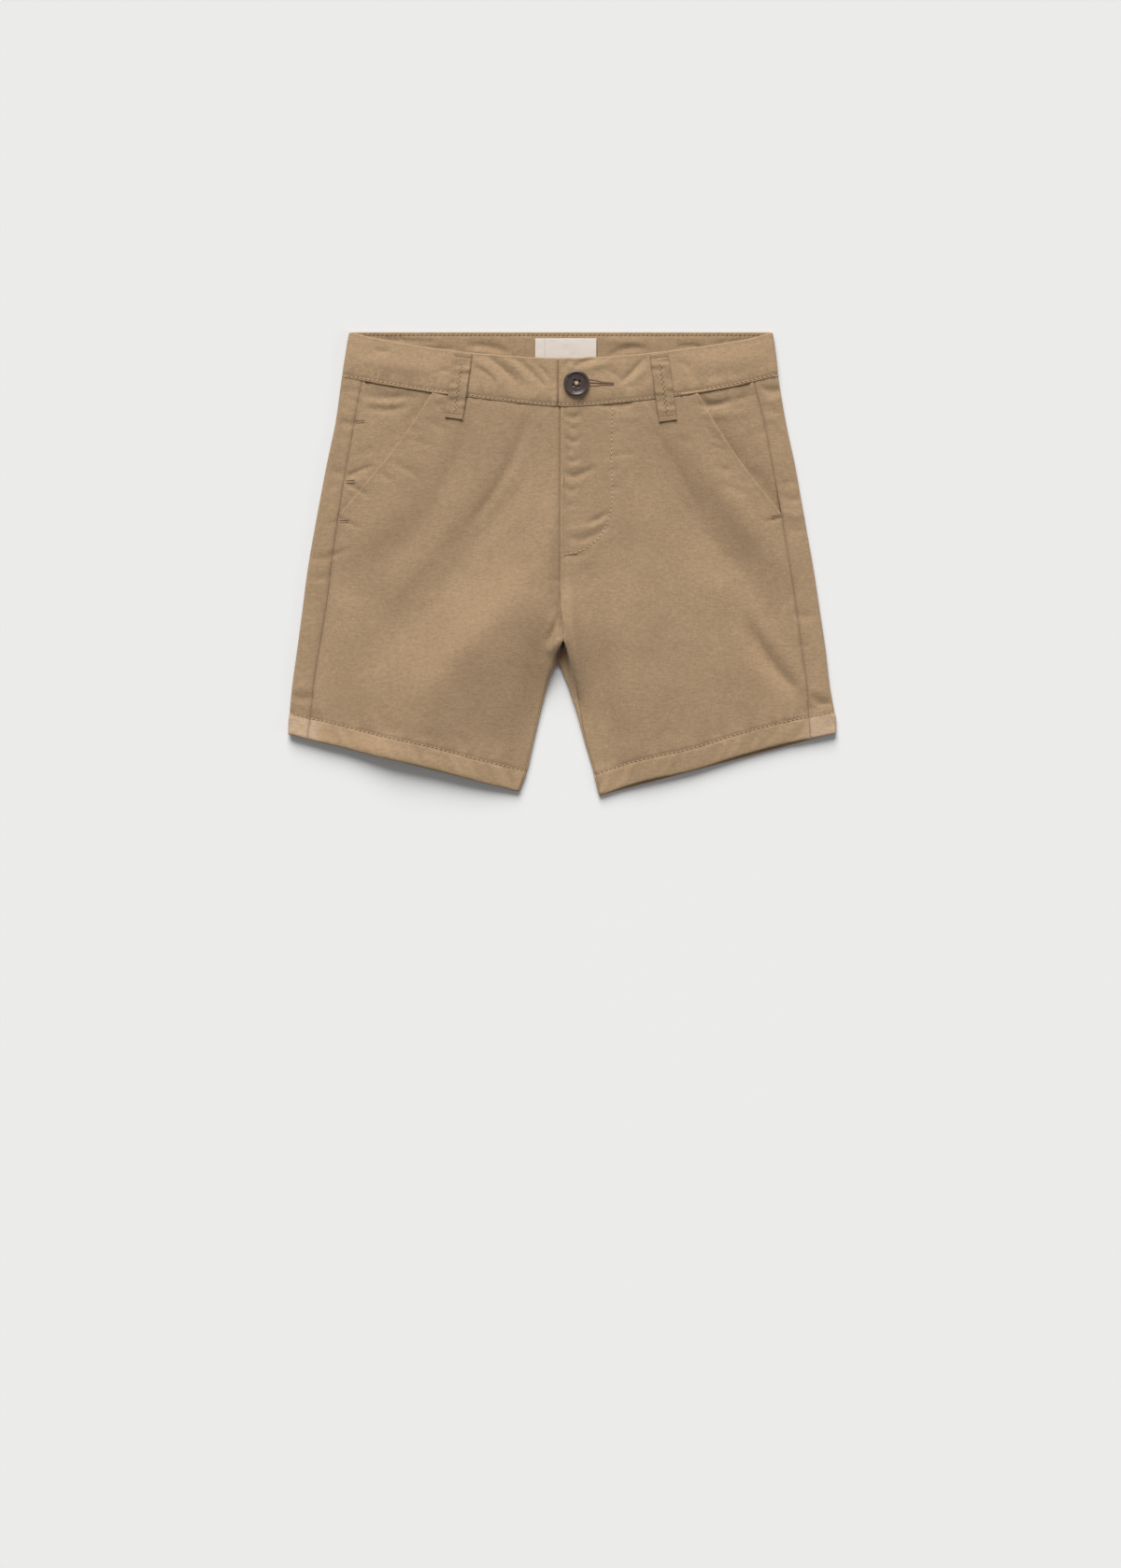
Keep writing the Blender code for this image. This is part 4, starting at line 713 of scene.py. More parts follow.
# Unevenness of all the cloth: how high its bumps are and about how far apart
Bumps = namedtuple("Bumps", "height size seed")
UNEVEN = [Bumps(0.22, 17.0, 1), Bumps(0.07, 6.0, 2)]


def body_face(x, y):
    """The form with its soft folds and a slight unevenness, nowhere flatter than pressed cloth."""
    level = upper(x, y) + draped(x, y)
    for bumps in UNEVEN:
        level = level + bumps.height * noise(x, y, bumps.size, bumps.seed)
    return at_least(pressed_flat(x, y), level)


def panel_face(x, y):
    return body_face(x, y) + pressed(PANEL_CREASES, x, y)


def turned_down(level, x, y):
    """The face with its edge turned down where it nears the inner leg fold."""
    near = np.full(np.shape(level), np.inf)
    for path in INNER_FOLDS.values():
        near = np.minimum(near, distance_to(path, x, y)[0])
    turn = np.clip((FOLD_REACH - near) / FOLD_REACH, 0.0, MOST_TURNED)
    return level / 2 * (1 + np.sqrt(1 - turn**2))


def front_face(side):
    """Upper face of a front; the right one sinks under the left where that laps over it."""
    edge = slant(side, np.linspace(0, 1, 40))

    def face(x, y):
        x, y = grids(x, y)
        lift = 1 - ramp(1.0, POCKET_LIFT, distance_to(edge, x, y)[0])
        level = panel_face(x, y) + 0.5 * (EDGE_WALL + LAP_GAP) * lift
        if side.sign > 0:
            level = level + pressed(FLY_CREASES, x, y) + pressed(FLY_GROOVE, x, y)
            return turned_down(level, x, y)
        lap = ramp(*FLY_SINK, x - centre_line(y)) * ramp(FLY_SINK_END, FLY_LAP_END[0], y)
        return turned_down(level, x, y) - (EDGE_WALL + 0.1) * lap
    return face


def facing_face(side):
    """The facing's face: the front's, sunk where the front laps over it."""
    edge = slant(side, np.linspace(0, 1, 60))

    def face(x, y):
        far = distance_to(edge, x, y)[0]
        mouth_x = np.interp(y, edge[1][::-1], edge[0][::-1])
        outside = (x - mouth_x) * side.sign > 0
        start, least, more = POCKET_SINK
        wide = least + more * ramp(*POCKET_OPENS, edge[1][0] - y)
        wide = np.clip(0.75 * np.abs(section(side.seam, y) - mouth_x), least, wide)
        drop = 1 - ramp(start, wide, np.where(outside & (y > edge[1][-1]), far, 0.0))
        ease = BAND_EASE[0] * (1 - ramp(0.0, BAND_EASE[1], waist("seam", across_waist(x)) - y))
        return (panel_face(x, y) + pressed(FACING_CREASES, x, y) + ease
                - 0.5 * (EDGE_WALL + LAP_GAP) * drop)
    return face


def band_face(x, y, under=False):
    """The waistband's front; its right end sinks under its left end."""
    level = body_face(x, y) + BAND_STEP + pressed(BAND_CREASES, x, y)
    lap = ramp(*BAND_SINK, x - BAND_OVERLAP_EDGE) if under else 0.0
    return level - (BAND_WALL + 0.1) * lap


def on_face(face, x, y):
    x, y = grids(x, y)
    return np.stack([x, y, face(x, y)], axis=-1)


def on_floor(x, y):
    """The underside: on the surface, lifted off it along a few creases."""
    x, y = grids(x, y)
    lift = np.maximum(-pressed(UNDER_CREASES, x, y), 0.0)
    return np.stack([x, y, lift], axis=-1)


# ---------------------------------------------------------------- shells

ROLL_INSETS = (0.134, 0.5, 1.0)     # extra rows inside an edge's roll, as shares of its radius
BORDERS = ("top", "bottom", "left", "right")


def spaced(stops, counts, first=0.0, last=0.0):
    """Positions from stop to stop in so many steps, closer where an edge rolls over."""
    steps = [np.linspace(a, b, int(n), endpoint=False)
             for a, b, n in zip(stops, stops[1:], counts)]
    extra = [stops[0] + first * k for k in ROLL_INSETS if first]
    extra += [stops[-1] - last * k for k in ROLL_INSETS if last]
    return np.unique(np.round(np.concatenate(steps + [[stops[-1]], extra]), 9))


def from_border(points, border):
    """Distance of each point of a grid from one of its borders, along the grid."""
    axis = 0 if border in ("top", "bottom") else 1
    step = np.linalg.norm(np.diff(points, axis=axis), axis=-1)
    if border in ("bottom", "right"):
        step = np.flip(step, axis)
    far = np.cumsum(step, axis=axis)
    far = np.concatenate([np.zeros_like(np.take(far, [0], axis=axis)), far], axis=axis)
    return np.flip(far, axis) if border in ("bottom", "right") else far


def rolled(points, rolls):
    """How far each point drops where the cloth's edge turns over at the named borders."""
    near = np.zeros(points.shape[:2])
    radius = np.zeros(points.shape[:2])
    for border, size in rolls.items():
        share = np.clip(1 - from_border(points, border) / size, 0, 1)
        near = np.hypot(near, share)
        radius = np.where(share > 0, np.maximum(radius, size), radius)
    near = np.minimum(near, MOST_TURNED)
    return radius * (1 - np.sqrt(1 - near**2))


class Shell:
    """A thin closed piece of cloth: joined grids of its outer face, the inner face and the rim."""

    def __init__(self):
        self.grids = []

    def add(self, points, wall, relief=0.0, rolls=None, flip=False, bare=None):
        """Adds a grid and returns its outer points and normals. bare marks rows that don't roll."""
        shape = points.shape[:2]
        normals = normals_of(points, flip)
        drop = rolled(points, rolls or {})
        if bare is not None:
            drop = drop * bare[:, None]
        relief = np.broadcast_to(relief, shape)
        wall = np.broadcast_to(wall, shape)
        self.grids.append((points, normals, wall, relief, drop, flip))
        return points + normals * (relief - drop)[..., None], normals

    def piece(self, name, material):
        base = np.vstack([g[0].reshape(-1, 3) for g in self.grids])
        normals = np.vstack([g[1].reshape(-1, 3) for g in self.grids])
        wall, relief, drop = (np.concatenate([g[k].ravel() for g in self.grids]) for k in (2, 3, 4))
        _, first, index = np.unique(np.round(base, 4), axis=0, return_index=True,
                                    return_inverse=True)
        index = index.ravel()
        mean = np.zeros((len(first), 3))
        np.add.at(mean, index, normals)
        mean /= np.linalg.norm(mean, axis=1, keepdims=True)
        base, wall, relief, drop = base[first], wall[first], relief[first], drop[first]
        outer = base + mean * (relief - drop)[:, None]
        outer[:, 2] = np.maximum(outer[:, 2], 0.0)
        inner = base - mean * (wall - drop)[:, None]

        quads, start = [], 0
        for points, *_, flip in self.grids:
            rows, columns = points.shape[:2]
            at = index[start:start + rows * columns].reshape(rows, columns)
            start += rows * columns
            quad = np.stack([at[:-1, :-1], at[1:, :-1], at[1:, 1:], at[:-1, 1:]], axis=-1)
            quad = quad.reshape(-1, 4)
            quads.append(quad[:, ::-1] if flip else quad)
        quads = np.vstack(quads)
        count = len(outer)
        faces = [tuple(dict.fromkeys(q)) for q in quads.tolist()]
        faces = [f for f in faces if len(f) > 2]
        edges = np.array([(f[k], f[(k + 1) % len(f)]) for f in faces for k in range(len(f))])
        open_ones = ~np.isin(edges[:, 0] * count + edges[:, 1], edges[:, 1] * count + edges[:, 0])
        rim = [(b, a, a + count, b + count) for a, b in edges[open_ones].tolist()]
        back = [tuple(v + count for v in reversed(f)) for f in faces]
        piece = mesh_object(name, np.vstack([outer, inner]), faces + back + rim, material)
        # The sewn relief, kept for the twill: paler where raised, as wear, and darker in grooves
        # and dips, which is painted shade.
        worn = np.concatenate([relief, np.zeros(count)]).astype(np.float32)
        piece.data.attributes.new("worn", "FLOAT", "POINT").data.foreach_set("value", worn)
        # Share of painted highlight: paler cloth painted on the hems' outer corners.
        pale = np.tile(painted_corner_highlight(outer[:, 0], outer[:, 1]), 2).astype(np.float32)
        piece.data.attributes.new("pale", "FLOAT", "POINT").data.foreach_set("value", pale)
        return piece


def mesh_object(name, points, faces, material):
    mesh = bpy.data.meshes.new(name)
    mesh.from_pydata((np.asarray(points) * MM).tolist(), [], faces)
    mesh.validate()
    mesh.shade_smooth()
    mesh.materials.append(material)
    piece = bpy.data.objects.new(name, mesh)
    bpy.context.scene.collection.objects.link(piece)
    return piece


def patch(left, right, top, bottom, rows, columns):
    """Points of a plan between four edges; rows and columns run from 0 to 1."""
    v = np.asarray(rows)[:, None]
    u = np.asarray(columns)[None, :]
    grid = []
    for axis in (0, 1):
        a, b = left(v)[axis], right(v)[axis]
        across = (1 - u) * a + u * b
        top_bow = top(u)[axis] - ((1 - u) * top(0.0)[axis] + u * top(1.0)[axis])
        low_bow = bottom(u)[axis] - ((1 - u) * bottom(0.0)[axis] + u * bottom(1.0)[axis])
        grid.append(across + (1 - v) * top_bow + v * low_bow)
    return grid


# ---------------------------------------------------------------- sewn relief

# Puckers beside stitches: their height, the reach over which they fade, how far apart they are,
# how much of the distance from the stitches stretches them, and a seed
Pucker = namedtuple("Pucker", "height reach size stretch seed")
HEM_ROPE = Pucker(0.26, None, 4.2, 0.35, 11)        # aslant over the whole hem
HEM_PUCKER = Pucker(0.3, 3.2, 3.4, 0.3, 21)
ABOVE_HEM = Pucker(0.16, 5.0, 5.5, 0.3, 31)
SEAM_PUCKER = Pucker(0.28, 4.5, 2.9, 0.25, 41)
EDGE_PUCKER = Pucker(0.25, 6.0, 4.5, 0.3, 45)
BAND_PUCKER = Pucker(0.28, 4.0, 3.1, 0.25, 51)

# Ridges and dips beside an edge: height and width
SEAM_DIP = (-0.15, 1.2)
SIDE_SEAM = (-0.4, 1.1)
CENTRE_SEAM = (-0.35, 1.6)
EDGE_RIDGE = (0.3, 1.8)
HEM_FULLNESS = 0.22
BAND_FULLNESS = 0.35


def bumps_of(pucker, along, far, seed=0):
    return noise(along, pucker.stretch * far, pucker.size, pucker.seed + seed)


def along_border(row, start, seed):
    """How far along a border its points lie, which moves on with the piece's seed."""
    return from_border(row, start) + PIECE_SPREAD * seed


def stitch_line(off, along, depth, pull):
    """Groove of a line of stitches, deeper where the thread goes in."""
    return -depth * bell(off, GROOVE_WIDE) * (1 + pull * np.cos(2 * np.pi * along / STITCH_PITCH))


def hem_relief(points, seed):
    """The hem's stitched groove, the doubled cloth under it and the puckers that it ropes into."""
    down = from_border(points, "bottom")
    along = along_border(points[-1:], "left", seed)
    off = down - HEM_DEPTH
    inside = ramp(0.0, 2.0, down) * (1 - ramp(-2.0, 0.0, off))
    relief = stitch_line(off, along, GROOVE, 0.35) + HEM_FULLNESS * inside
    relief += HEM_ROPE.height * inside * bumps_of(HEM_ROPE, along + 0.75 * down, down, seed)
    relief += (HEM_PUCKER.height * bell(off, HEM_PUCKER.reach)
               * bumps_of(HEM_PUCKER, along, down, seed))
    return relief + (ABOVE_HEM.height * bell(off - 7.0, ABOVE_HEM.reach)
                     * bumps_of(ABOVE_HEM, along, down))


def seam_relief(points, seed):
    """Dip of a panel's top along the waistband's seam, with short puckers that run into it."""
    far = from_border(points, "top")
    along = along_border(points[:1], "left", seed)
    height, wide = SEAM_DIP
    return (height * bell(far, wide) + SEAM_PUCKER.height * np.exp(-far / SEAM_PUCKER.reach)
            * bumps_of(SEAM_PUCKER, along, far, seed))


def side_seam(points):
    """Groove along a panel's left border where it is sewn to the next one."""
    height, wide = SIDE_SEAM
    return height * bell(from_border(points, "left"), wide)


def folded_edge(points, border, seed):
    """Ridge of an edge that is turned under, with short puckers beside it."""
    far = from_border(points, border)
    along = along_border(points[:, :1], "top", seed)
    height, wide = EDGE_RIDGE
    return (height * bell(far, wide) + EDGE_PUCKER.height * np.exp(-far / EDGE_PUCKER.reach)
            * bumps_of(EDGE_PUCKER, along, far, seed))


def band_relief(points, seed):
    """The waistband's stitched groove, the ridge under it and the fullness of its doubled cloth."""
    up = from_border(points, "bottom")
    top = from_border(points, "top")
    along = along_border(points[-1:], "left", seed)
    groove = stitch_line(up - BAND_STITCH, along, 1.2 * GROOVE, 0.45)
    ridge = 0.3 * bell(up - 0.75, 0.55) - 0.45 * bell(up, 0.7)
    full = BAND_FULLNESS * ramp(1.5, 7.0, up) * ramp(0.0, 5.0, top)
    pucker = (BAND_PUCKER.height * bell(up - 3.0, BAND_PUCKER.reach)
              * bumps_of(BAND_PUCKER, along, up, seed))
    return groove + ridge + full + pucker


# ---------------------------------------------------------------- edges in plan


def across_waist(x):
    """Position along the front waist seam for a given x."""
    right, left = (abs(section(side.fold, BACK_SEAM)) for side in SIDES)
    return x / np.where(np.asarray(x) < 0, right, left)


def panel_top(x):
    """Where the front panels and facings end under the waistband, at x."""
    return waist("seam", across_waist(x)) - HALF_GAP


def seam_line(side, y, inset):
    """Side seam at y, moved by inset towards the fold when positive."""
    return section(side.seam, y) + side.sign * inset


def hem_line(side, across):
    """Point of the hem edge."""
    outer = section(side.fold, HEM_FOLD_Y)
    inner = side.inner[-1].fold_x
    y = smooth(column(HEM, "across"), column(HEM, side.hem), across)
    return outer + (inner - outer) * np.asarray(across), y


def hem_near(side, x):
    """Hem edge at x."""
    outer = section(side.fold, HEM_FOLD_Y)
    across = (x - outer) / (side.inner[-1].fold_x - outer)
    return x, hem_line(side, across)[1]


def painted_corner_highlight(x, y):
    """Share of painted highlight: the hems' outer corners, where their layers lie thickest, are
    painted paler.
    """
    total = np.zeros(np.shape(x))
    for side in SIDES:
        outer = hem_line(side, 0.0)[0]
        up = y - hem_near(side, x)[1]
        total += ((1 - ramp(*PAINTED_HIGHLIGHT_CORNER, np.abs(x - outer)))
                  * (1 - ramp(HEM_DEPTH - 2.5, HEM_DEPTH - 0.5, up)))
    return total


# Rows down the leg in the solids, as shares of the inseam; the last three lie in the hem
LEG_PARTS = np.array([0, 0.05, 0.11, 0.18, 0.27, 0.38, 0.51, 0.64, 0.76, 0.845, 0.862, 0.93, 1.0])
HEM_ROWS = 3


def shares_down_leg(crotch_share, length):
    """Shares of a panel's length for the rows of LEG_PARTS, with the hem at its real depth."""
    step = 1 - (HEM_DEPTH + HEM_STEP) / length
    above = LEG_PARTS[:-HEM_ROWS]
    leg = crotch_share + (step - crotch_share) * above / above[-1]
    hem = 1 - HEM_DEPTH / length
    return np.concatenate([leg, np.linspace(hem, 1.0, HEM_ROWS)])


def hem_wall(points):
    return WALL + (HEM_WALL - WALL) * (1 - ramp(HEM_DEPTH - 1.0, HEM_DEPTH + 0.6,
                                                 from_border(points, "bottom")))


# ---------------------------------------------------------------- pieces


FrontPlan = namedtuple("FrontPlan", "outer inner top bottom slant_share crotch_share width")


def front_plan(side):
    """Edges of a front in plan, each as a function of the share along it."""
    sign, lap = side.sign, side.sign < 0
    slant_end = slant(side, 1.0)
    crotch = side.inner[0].seam_x, side.inner[0].seam_y
    hem_seam = hem_near(side, seam_line(side, SEAM_LOW_Y, -HALF_GAP))
    corner_x = slant(side, 0.0)[0]
    top_y = float(panel_top(corner_x))
    slant_share = (top_y - slant_end[1]) / (top_y - hem_seam[1])
    centre_y = float(panel_top(FLY_EDGE + FLY_UNDERLAP if lap else FLY_EDGE))
    crotch_share = (centre_y - crotch[1]) / (centre_y - float(inner_leg(side, "seam_y", 1.0)))
    leg_rows = shares_down_leg(crotch_share, FRONT_LENGTH)

    def outer_edge(v):
        v = np.asarray(v, float)
        slant_x, slant_y = slant(side, np.clip(v / slant_share, 0, 1))
        y_low = slant_end[1] + (hem_seam[1] - slant_end[1]) * (v - slant_share) / (1 - slant_share)
        on_slant = v <= slant_share
        x = np.where(on_slant, slant_x, seam_line(side, y_low, -HALF_GAP))
        return x, np.where(on_slant, np.minimum(slant_y, top_y), y_low)

    def inner_edge(v):
        v = np.asarray(v, float)
        y_high = centre_y + (crotch[1] - centre_y) * v / crotch_share
        shift = FLY_UNDERLAP * ramp(*FLY_LAP_END, y_high) if lap else 0.0
        gap = HALF_GAP * (1 - ramp(*FLY_LAP_END, y_high)) if lap else HALF_GAP
        x_high = centre_line(y_high) + shift + sign * gap
        part = np.interp(v, leg_rows, LEG_PARTS)
        fold_x, fold_y, seam_x, seam_y = (inner_leg(side, name, part) for name in InnerLeg._fields)
        out = np.stack([seam_x - fold_x, seam_y - fold_y])
        out = out / np.linalg.norm(out, axis=0)
        above = v < crotch_share - 1e-9
        x = np.where(above, x_high, seam_x + INSEAM_HALF_GAP * out[0])
        y = np.where(above, y_high, seam_y + INSEAM_HALF_GAP * out[1])
        corner = np.abs(v - crotch_share) <= 1e-9
        return (np.where(corner, crotch[0] + sign * HALF_GAP, x),
                np.where(corner, crotch[1] + HALF_GAP, y))

    def top_edge(u):
        x = corner_x + (inner_edge(0.0)[0] - corner_x) * np.asarray(u, float)
        return x, panel_top(x)

    def bottom_edge(u):
        end = inner_edge(1.0)
        x = hem_seam[0] + (end[0] - hem_seam[0]) * np.asarray(u, float)
        bend = hem_near(side, x)[1]
        start_y, end_y = hem_near(side, hem_seam[0])[1], hem_near(side, end[0])[1]
        straight = start_y + (end_y - start_y) * np.asarray(u)
        return x, hem_seam[1] + (end[1] - hem_seam[1]) * np.asarray(u) + bend - straight

    width = abs(inner_edge(1.0)[0] - hem_seam[0])
    return FrontPlan(outer_edge, inner_edge, top_edge, bottom_edge, slant_share, crotch_share,
                     width)


def front_grid(side, plan):
    """Rows down a front, and the points of its face."""
    stops = [0, plan.slant_share, plan.crotch_share, 1 - HEM_ZONE / FRONT_LENGTH, 1.0]
    counts = [(b - a) * FRONT_LENGTH / FRONT_STEP[0] for a, b in zip(stops, stops[1:])]
    counts[-1] = HEM_ZONE / HEM_STEPS[0]
    rows = spaced(stops, counts, SEAM_ROLL / FRONT_LENGTH, HEM_ROLL / FRONT_LENGTH)
    columns = spaced([0, 0.96, 1.0], [0.96 * plan.width / FRONT_STEP[1], 12],
                     EDGE_ROLL / plan.width, EDGE_ROLL / plan.width)
    x, y = patch(plan.outer, plan.inner, plan.top, plan.bottom, rows, columns)
    return rows, on_face(front_face(side), x, y)


def front(side, material):
    """Front panel from the slant pocket and side seam to the centre front and inseam."""
    over = side.sign > 0
    plan = front_plan(side)
    rows, points = front_grid(side, plan)
    mouth = (rows < plan.slant_share)[:, None]
    fly = (rows < plan.crotch_share)[:, None]
    wall = hem_wall(points)
    doubled = (1 - ramp(*DOUBLED_END, from_border(points, "left"))) * mouth
    if over:
        doubled = np.maximum(doubled, (1 - ramp(*DOUBLED_END, from_border(points, "right"))) * fly)
    wall = wall + (EDGE_WALL - WALL) * doubled * (wall < WALL + 0.1)
    seed = 2 if over else 1
    edge = mouth * folded_edge(points, "left", 8 + side.sign) + ~mouth * side_seam(points)
    relief = hem_relief(points, seed) + seam_relief(points, seed) + edge
    if over:
        relief = relief + fly * 0.6 * folded_edge(points, "right", 10)
    shell = Shell()
    outer, normals = shell.add(points, wall, relief, flip=over, rolls={
        "top": SEAM_ROLL, "bottom": HEM_ROLL, "left": EDGE_ROLL, "right": EDGE_ROLL})
    return shell.piece(f"twill_front_{side.name}", material), outer, normals


def back_rows():
    """Rows down a back as shares of its length: above the crotch, and from there to the hem."""
    hem_share = 1 - HEM_ZONE / BACK_LENGTH
    step = BACK_LENGTH / BACK_STEP[0]
    hips = spaced([0, BACK_CROTCH_SHARE], [BACK_CROTCH_SHARE * step], EDGE_ROLL / BACK_LENGTH)
    leg = spaced([BACK_CROTCH_SHARE, hem_share, 1.0],
                 [(hem_share - BACK_CROTCH_SHARE) * step, HEM_ZONE / HEM_STEPS[1]],
                 0.0, HEM_ROLL / BACK_LENGTH)
    return hips[:-1], leg


def side_edges(side, rows):
    """The side fold, and the side seam beside it on top: x and y of each row of a back."""
    top_fold = BACK_SEAM - HALF_GAP
    fold_low = float(hem_line(side, 0.0)[1])
    side_y = top_fold + (fold_low - top_fold) * rows
    wander = noise(side_y, 0 * side_y, EDGE_WAVE_LENGTH, 61)
    side_x = section(side.fold, side_y) + side.sign * EDGE_WAVE * wander
    top_x, low_x = (seam_line(side, y, HALF_GAP) for y in (SEAM_TOP_Y, SEAM_LOW_Y))
    top_y, low_y = float(panel_top(top_x)), float(hem_near(side, low_x)[1])
    strip_y = top_y + (low_y - top_y) * rows
    strip_x = seam_line(side, strip_y, HALF_GAP)
    strip_x[0], strip_x[-1] = top_x, low_x
    return (side_x, side_y), (strip_x, strip_y)


def side_fold(side, x, y, heights, start, end):
    """Cloth round a side fold, from one angle to another."""
    angles = np.broadcast_to(np.linspace(start, end, ROUND_STEPS), (len(x), ROUND_STEPS))
    outward = np.tile([float(side.sign), 0.0], (len(x), 1))
    return round_fold(np.stack([x, y], axis=-1), outward, heights, angles)


def between(a, b, shares):
    """Grid whose rows run from the values a to the values b."""
    return a[:, None] + (b - a)[:, None] * shares


def inner_side(side, hip_rows, leg_rows):
    """Inner edge of a flat back: the centre seam down to the crotch, then the inner leg fold. With
    it, the cloth from there over the fold to the inseam."""
    sign = side.sign
    parts = np.interp(leg_rows, shares_down_leg(BACK_CROTCH_SHARE, BACK_LENGTH), LEG_PARTS)
    fold_x, fold_y, seam_x, seam_y = (inner_leg(side, name, parts) for name in InnerLeg._fields)
    fold = np.stack([fold_x, fold_y], axis=-1)
    outward = fold - np.stack([seam_x, seam_y], axis=-1)
    gap = np.linalg.norm(outward, axis=-1)
    outward /= gap[:, None]
    start = fold - FOLD_REACH * outward
    top_fold = BACK_SEAM - HALF_GAP
    hip_y = top_fold + (start[0, 1] - top_fold) * hip_rows / BACK_CROTCH_SHARE
    hip_x = np.interp(hip_y, [start[0, 1], 0.0], [start[0, 0], FLY_EDGE])
    inner_x = np.concatenate([hip_x + sign * HALF_GAP, start[:, 0]])
    inner_y = np.concatenate([hip_y, start[:, 1]])
    inner_x[len(hip_rows)] += sign * HALF_GAP

    lower = seam_y[0] - seam_y
    sunk = 1 - ramp(*SUNK_STRIP[side.name], lower)
    rise = SUNK_RISE[0] + SUNK_RISE[1] * ramp(*SUNK_RISE_BELOW, lower)
    rolls = np.array([inner_roll(*row) for row in zip(fold, outward, gap, sunk, rise)])
    rolls[0, :, 0] += sign * HALF_GAP
    return inner_x, inner_y, rolls


def back(side, material):
    """Back panel: strip by the side seam, side fold, flat back, inner fold and strip to the
    inseam."""
    sign = side.sign
    hip_rows, leg_rows = back_rows()
    rows = np.concatenate([hip_rows, leg_rows])
    (side_x, side_y), (strip_x, strip_y) = side_edges(side, rows)
    rolls = {"top": SEAM_ROLL, "bottom": HEM_ROLL}
    shell = Shell()

    # strip over the top, from the side seam to the side fold
    flat_x = side_x - sign * FOLD_REACH
    u = spaced([0, 1], [STRIP_GRID[0]], EDGE_ROLL / STRIP_GRID[1])[None, :]
    strip = on_face(panel_face, between(strip_x, flat_x, u), between(strip_y, side_y, u))
    relief = hem_relief(strip, 3) + seam_relief(strip, 3) + side_seam(strip)
    outer, normals = shell.add(strip, hem_wall(strip), relief, flip=sign < 0,
                               rolls={**rolls, "left": EDGE_ROLL})

    # side fold
    rim = side_fold(side, side_x, side_y, strip[:, -1, 2], np.pi, 0)
    rim[:, 0] = strip[:, -1]
    shell.add(rim, hem_wall(rim), hem_relief(rim, 4), rolls, flip=sign < 0)

    # flat back
    inner_x, inner_y, inner = inner_side(side, hip_rows, leg_rows)
    u = np.linspace(0, 1, int(BACK_WIDTH / BACK_STEP[1]))[None, :]
    flat = on_floor(between(flat_x, inner_x, u), between(side_y, inner_y, u))
    flat[:, 0] = rim[:, -1]
    flat[len(hip_rows):, -1] = inner[:, 0]
    hips = 1.0 * (rows < BACK_CROTCH_SHARE)
    height, wide = CENTRE_SEAM
    relief = (np.minimum(hem_relief(flat, 5), 0.0)
              + height * bell(from_border(flat, "right"), wide) * hips[:, None])
    under = shell.add(flat, hem_wall(flat), relief, rolls, flip=sign < 0)

    # inner leg fold and the strip from it to the inseam
    shell.add(inner, hem_wall(inner), hem_relief(inner, 6), flip=sign < 0,
              rolls={"bottom": HEM_ROLL, "right": EDGE_ROLL})
    return shell.piece(f"twill_back_{side.name}", material), (outer, normals), under


def inner_roll(fold, outward, gap, sunk, rise):
    """Even points from the flat back round the inner fold to the inseam; where the strip has sunk
    it lies low and rises to the seam over the given width."""
    start = fold - FOLD_REACH * outward
    height = panel_face(start[:1], start[1:])[0]
    reach = max(gap - INSEAM_HALF_GAP, 0.0)
    last = np.pi if reach >= FOLD_REACH else np.pi - math.asin((FOLD_REACH - reach) / FOLD_REACH)
    angles = np.linspace(0, last, 40)
    points = round_fold(fold[None], outward[None], np.array([height]), angles[None])[0]
    if reach > FOLD_REACH:
        run = np.linspace(FOLD_REACH, reach, 20)[1:, None]
        xy = fold - run * outward
        points = np.vstack([points, on_face(panel_face, xy[:, 0], xy[:, 1])])
    seam = fold - reach * outward
    top = turned_down(panel_face(seam[:1], seam[1:]), seam[:1], seam[1:])[0]
    rise = min(rise, max(reach, 0.5))
    far = np.hypot(*(points[:, :2] - fold).T)
    low = SUNK_HEIGHT + (top - SUNK_HEIGHT) * np.clip((far - reach + rise) / rise, 0, 1)
    upper_half = np.arange(len(points)) >= np.argmin(far)
    low = np.where(upper_half, low, points[:, 2] * SUNK_HEIGHT / height)
    points[:, 2] += sunk * (low - points[:, 2])
    along = run_along(points)
    at = np.concatenate([np.linspace(0, along[-1] - EDGE_ROLL, INNER_STEPS),
                         along[-1] - EDGE_ROLL * np.array([0.5, ROLL_INSETS[0], 0.0])])
    return read_at(at, along, points)


def pocket_facing(side, material):
    """Hip piece between the slant pocket mouth and the side seam, running in under the front."""
    sign = side.sign
    end_y = slant(side, 1.0)[1]
    seam_top_x = seam_line(side, SEAM_TOP_Y, -HALF_GAP)
    seam_top_y = float(panel_top(seam_top_x))
    rows = spaced([0, 1], [FACING_LENGTH / FACING_STEP], EDGE_ROLL / FACING_LENGTH)
    low_y = end_y - POCKET_TAIL
    outer_y = seam_top_y + (low_y - seam_top_y) * rows
    outer_x = seam_line(side, outer_y, -HALF_GAP)
    outer_x[0] = seam_top_x
    mouth_x, mouth_y = slant(side, rows)
    inner_x = mouth_x - sign * POCKET_LAP
    inner_y = mouth_y + (low_y - end_y) * rows
    inner_y[0] = float(panel_top(inner_x[0]))
    u = spaced([0, 1], [FACING_WIDTH[0] / FACING_STEP], EDGE_ROLL / FACING_WIDTH[1])[None, :]
    x, y = between(outer_x, inner_x, u), between(outer_y, inner_y, u)
    y += (panel_top(x[0]) - y[0]) * (1 - rows)[:, None]
    points = on_face(facing_face(side), x, y)
    shell = Shell()
    shell.add(points, WALL, seam_relief(points, 5 + sign) + side_seam(points), flip=sign > 0,
              rolls={"top": SEAM_ROLL, "left": EDGE_ROLL})
    return shell.piece(f"twill_facing_{side.name}", material)


